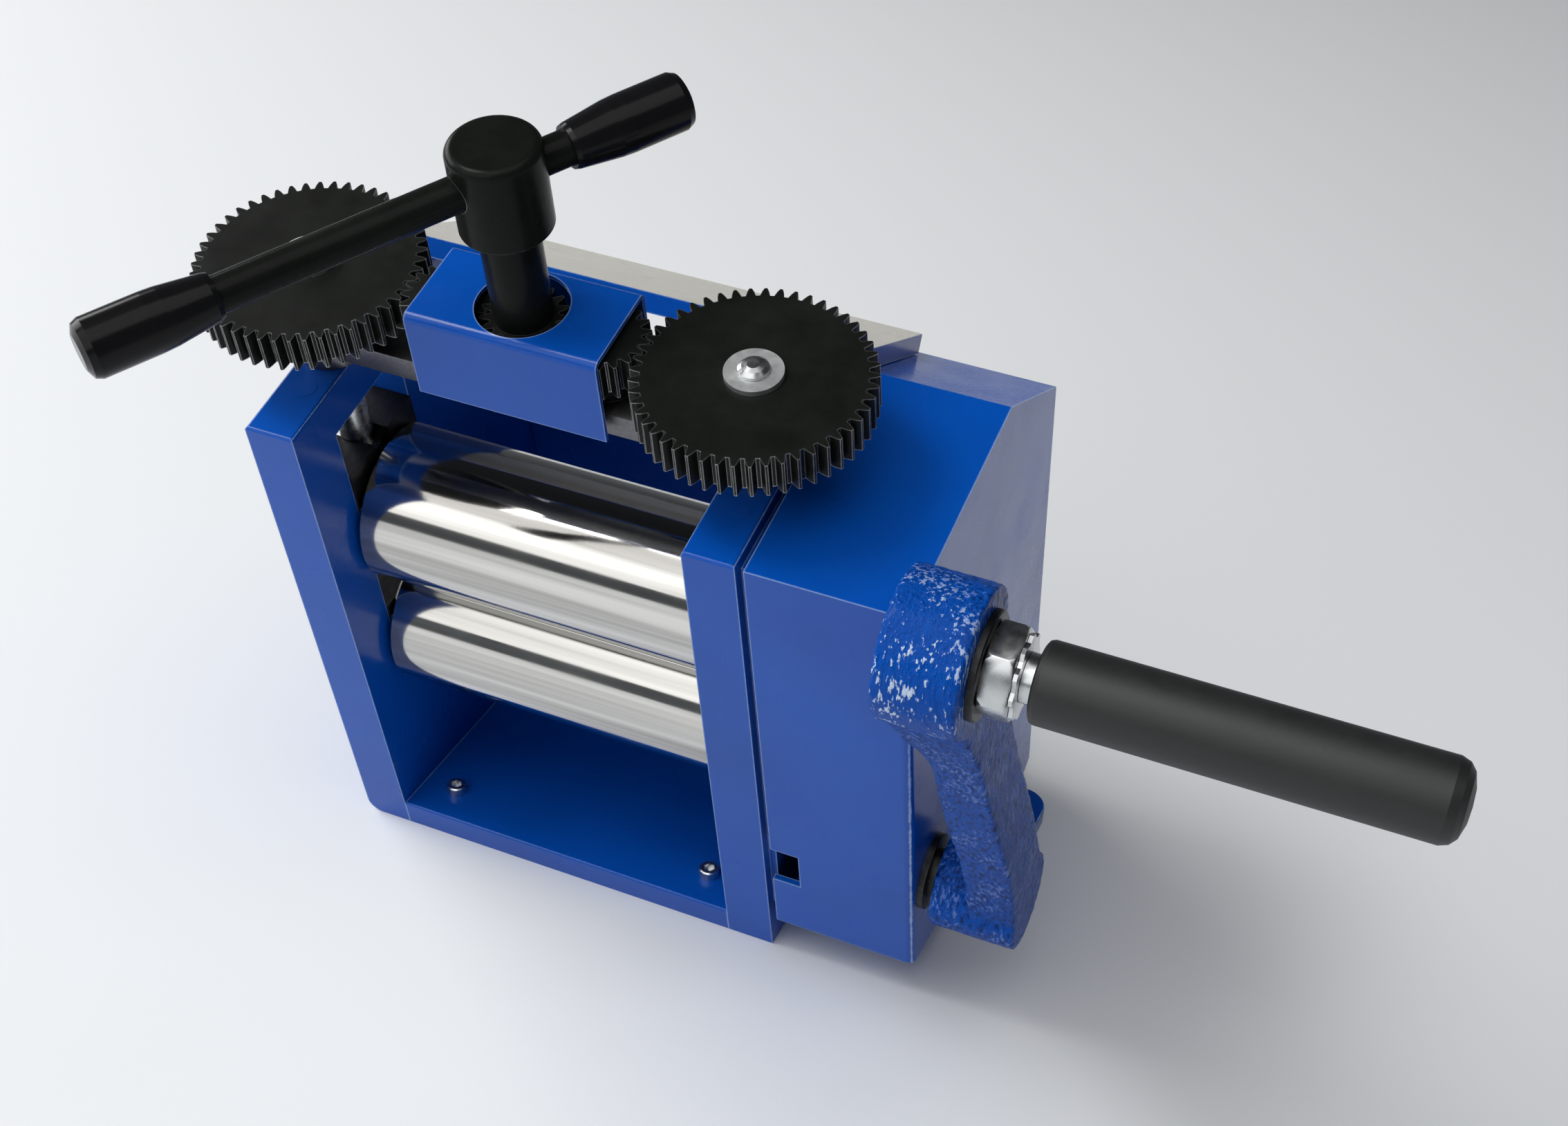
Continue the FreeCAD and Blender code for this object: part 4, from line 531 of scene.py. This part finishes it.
def cast_coat(name, hub_y, hub_z):
    material, tree, shader = new_material(name)
    where = put(tree, "ShaderNodeTexCoord").outputs
    cloud = noise(tree, where["Object"], scale=130.0, detail=4.0)
    grain_turn = (math.radians(-15), math.radians(40), 0)
    long_grain = stretched(tree, where["Object"], (1, 1, 0.3), grain_turn)
    strokes = noise(tree, long_grain, scale=1150.0, detail=3.0, roughness=0.6)
    near = put(tree, "ShaderNodeVectorMath", operation="DISTANCE")
    near.inputs[1].default_value = (glint_spot_x, hub_y - glint_spot_forward, hub_z + glint_spot_up)
    tree.links.new(where["Object"], near.inputs[0])
    hub = remap(tree, near.outputs["Value"], source=(glint_spot_outer, glint_spot_inner))
    # Painted shade: the hollows of the relief are darker, except round the highlight spot.
    pit_shade = remap(tree, strokes, source=(0.50, 0.34), target=(0.0, 0.85))
    web_pit_shade = maths(tree, "MULTIPLY", pit_shade, maths(tree, "SUBTRACT", 1.0, hub))
    paint = blend(tree, web_pit_shade, blend(tree, cloud, *cast_blue), pit_shade_blue)
    patch = noise(tree, where["Object"], scale=120.0, detail=1.0)
    floor = remap(tree, patch, source=(0.35, 0.65), target=(0.68, 0.52))
    # Painted highlights: pale flecks on the peaks of the relief, thickest round the spot.
    peak_glints = remap(tree, maths(tree, "SUBTRACT", strokes, floor), source=(0.0, 0.06))
    painted_glints = maths(tree, "MULTIPLY", peak_glints, remap(tree, hub, target=(0.16, 0.85)))
    lay_skin(tree, shader, blend(tree, painted_glints, paint, painted_glint_blue), remap(tree, cloud, target=(0.18, 0.34)),
             strokes, strength=0.8, depth=0.0010)
    shader.inputs["Specular IOR Level"].default_value = 0.05
    shader.inputs["Coat Weight"].default_value = 0.08
    shader.inputs["Coat Roughness"].default_value = 0.08
    return material


arm_turn = math.radians(102.4)
throw = 0.1218
shaft_y, shaft_z = 0.011511, 0.038014
spindle_y, spindle_z = -0.1101, 0.1458
hub_radius, hub_length, hub_x = 0.0155, 0.0172, 0.10730
boss_radius, boss_length, boss_x = 0.0119, 0.0208, 0.10995
lying = (0, math.radians(90), 0)
# The web from the hub down: height over the shaft, inner face, outer face, half depth.
stations = [(0.120, 0.1000, 0.1156, 0.0135), (0.112, 0.0990, 0.1157, 0.0122),
            (0.1045, 0.0990, 0.1158, 0.0103), (0.0970, 0.1006, 0.1161, 0.0092),
            (0.0905, 0.1042, 0.1166, 0.0088), (0.0850, 0.1058, 0.1169, 0.0087),
            (0.0660, 0.1063, 0.1179, 0.0086), (0.0500, 0.1071, 0.1190, 0.0086),
            (0.0350, 0.1083, 0.1200, 0.0087), (0.0200, 0.1087, 0.1204, 0.0090),
            (0.0080, 0.1087, 0.1204, 0.0098), (0.0000, 0.1087, 0.1200, 0.0100),
            (-0.0060, 0.1087, 0.1180, 0.0080)]

crank = solid(bpy.ops.mesh.primitive_cylinder_add, vertices=72, radius=hub_radius, depth=hub_length,
              location=(hub_x, 0, throw), rotation=lying)
crank.name = "crank_casting"
boss = solid(bpy.ops.mesh.primitive_cylinder_add, vertices=72, radius=boss_radius, depth=boss_length,
             location=(boss_x, 0, 0), rotation=lying)
web = solid(bpy.ops.mesh.primitive_plane_add, size=1, location=(0, 0, 0))
bpy.ops.object.mode_set(mode="EDIT")
bpy.ops.mesh.select_all(action="SELECT")
high, inner, outer, half_depth = stations[0]
bpy.ops.transform.resize(value=(outer - inner, half_depth * 2, 1))
bpy.ops.transform.translate(value=((inner + outer) / 2, 0, high))
for next_high, next_inner, next_outer, next_depth in stations[1:]:
    bpy.ops.mesh.extrude_region_move(TRANSFORM_OT_translate={"value": (0, 0, next_high - high)})
    web_x, next_x = (inner + outer) / 2, (next_inner + next_outer) / 2
    bpy.ops.transform.translate(value=(next_x - web_x, 0, 0))
    bpy.ops.transform.resize(value=((next_outer - next_inner) / (outer - inner), next_depth / half_depth, 1),
                             center_override=(next_x, 0, next_high))
    high, inner, outer, half_depth = next_high, next_inner, next_outer, next_depth
bpy.ops.mesh.select_all(action="SELECT")
bpy.ops.mesh.normals_make_consistent(inside=False)
bpy.ops.object.mode_set(mode="OBJECT")
joined(crank, boss, web)
settle(crank, Matrix.Identity(4))
sand = bpy.data.textures.new("sand_skin", "CLOUDS")
sand.noise_scale = 0.0017
sand.noise_depth = 2
shape(crank, "REMESH", mode="VOXEL", voxel_size=0.0006)
shape(crank, "SMOOTH", factor=0.5, iterations=10)
shape(crank, "DISPLACE", texture=sand, texture_coords="LOCAL", strength=0.00035, mid_level=0.5)
bpy.ops.object.shade_smooth()
settle(crank, LIFT @ Matrix.Translation((0, shaft_y, shaft_z))
       @ Matrix.Rotation(arm_turn - math.radians(90), 4, "X"))
finish_piece(crank, cast_coat("cobalt_cast_coat", spindle_y, spindle_z))
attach(crank, "crank")
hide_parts("crank_arm")


# ---------------------------------------------------------------- crank nut and star washer
# A zinc plated hexagon nut with chamfered corners, locked on the grip spindle
# by a toothed steel washer.

nut_low, nut_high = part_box("crank_nut")
nut_y, nut_z = (nut_low[1] + nut_high[1]) / 2, (nut_low[2] + nut_high[2]) / 2
nut_middle, nut_height = (nut_low[0] + nut_high[0]) / 2, nut_high[0] - nut_low[0]
nut_corner, nut_round, nut_chamfer, nut_rim = 0.00981, 0.00975, 0.0013, 0.00018
nut_turn = math.radians(12)
barrel_spare = 0.00002
spindle_bore, star_bore_depth = 0.00405, 0.004


def trimmed(piece, cutter, operation):
    """Cut a piece with another one, which is then gone."""
    bpy.ops.object.select_all(action="DESELECT")
    bpy.context.view_layer.objects.active = piece
    shape(piece, "BOOLEAN", operation=operation, object=cutter)
    bpy.data.objects.remove(cutter)


nut = solid(bpy.ops.mesh.primitive_cylinder_add, vertices=6, radius=nut_corner, depth=nut_height,
            location=(nut_middle, 0, 0), rotation=lying)
nut.name = "chamfered_nut"
barrel = solid(bpy.ops.mesh.primitive_cylinder_add, vertices=72, radius=nut_round,
               depth=nut_height + barrel_spare, location=(nut_middle, 0, 0), rotation=lying)
shape(barrel, "BEVEL", width=nut_chamfer, segments=2, limit_method="ANGLE", angle_limit=math.radians(60))
bore = solid(bpy.ops.mesh.primitive_cylinder_add, vertices=48, radius=spindle_bore, depth=nut_height * 2,
             location=(nut_middle, 0, 0), rotation=lying)
trimmed(nut, barrel, "INTERSECT")
trimmed(nut, bore, "DIFFERENCE")
shape(nut, "BEVEL", width=nut_rim, segments=2, limit_method="ANGLE")
nut.select_set(True)
bpy.ops.object.shade_smooth_by_angle(angle=math.radians(30))
settle(nut, Matrix.Translation((0, nut_y, nut_z)) @ Matrix.Rotation(nut_turn, 4, "X"))
finish_piece(nut, zinc)
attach(nut, "crank")
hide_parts("crank_nut")

star_low, star_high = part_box("lock_washer")
star_middle = (star_low[0] + star_high[0]) / 2
star_corners, star_radius, star_wall, tooth_reach = 40, 0.0077, 0.0008, 1.11
star = solid(bpy.ops.mesh.primitive_cylinder_add, vertices=star_corners, radius=star_radius,
             depth=star_wall, location=(star_middle, 0, 0), rotation=lying)
star.name = "star_washer"
settle(star, Matrix.Identity(4))
bpy.ops.object.mode_set(mode="EDIT")
bpy.ops.mesh.select_all(action="DESELECT")
bpy.ops.object.mode_set(mode="OBJECT")
for corner in star.data.vertices:
    step = round(math.atan2(corner.co.z, corner.co.y) / math.radians(360 / star_corners))
    corner.select = step % 4 in (0, 1)
bpy.ops.object.mode_set(mode="EDIT")
bpy.ops.transform.resize(value=(1, tooth_reach, tooth_reach), center_override=(star_middle, 0, 0))
bpy.ops.object.mode_set(mode="OBJECT")
star_bore = solid(bpy.ops.mesh.primitive_cylinder_add, vertices=48, radius=spindle_bore,
                  depth=star_bore_depth, location=(star_middle, 0, 0), rotation=lying)
trimmed(star, star_bore, "DIFFERENCE")
star.select_set(True)
settle(star, Matrix.Translation((0, nut_y, nut_z)))
finish_piece(star, zinc)
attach(star, "crank")
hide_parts("lock_washer")


# ---------------------------------------------------------------- crank grip
# A black rubber sleeve with a domed end, dull and slightly dusty.
# It spins freely on the steel spindle.

def rubber_skin(name):
    material, tree, shader = new_material(name)
    where = put(tree, "ShaderNodeTexCoord").outputs
    dust = noise(tree, where["Object"], scale=90.0, detail=6.0, roughness=0.7)
    tone = blend(tree, dust, (0.008, 0.009, 0.009), (0.020, 0.023, 0.023))
    grain = noise(tree, where["Object"], scale=1600.0, detail=2.0)
    lay_skin(tree, shader, tone, remap(tree, dust, target=(0.36, 0.62)), grain, strength=0.25, depth=0.0001)
    return material


finish_node(rubber_skin("rubber_sleeve"), "crank_grip")
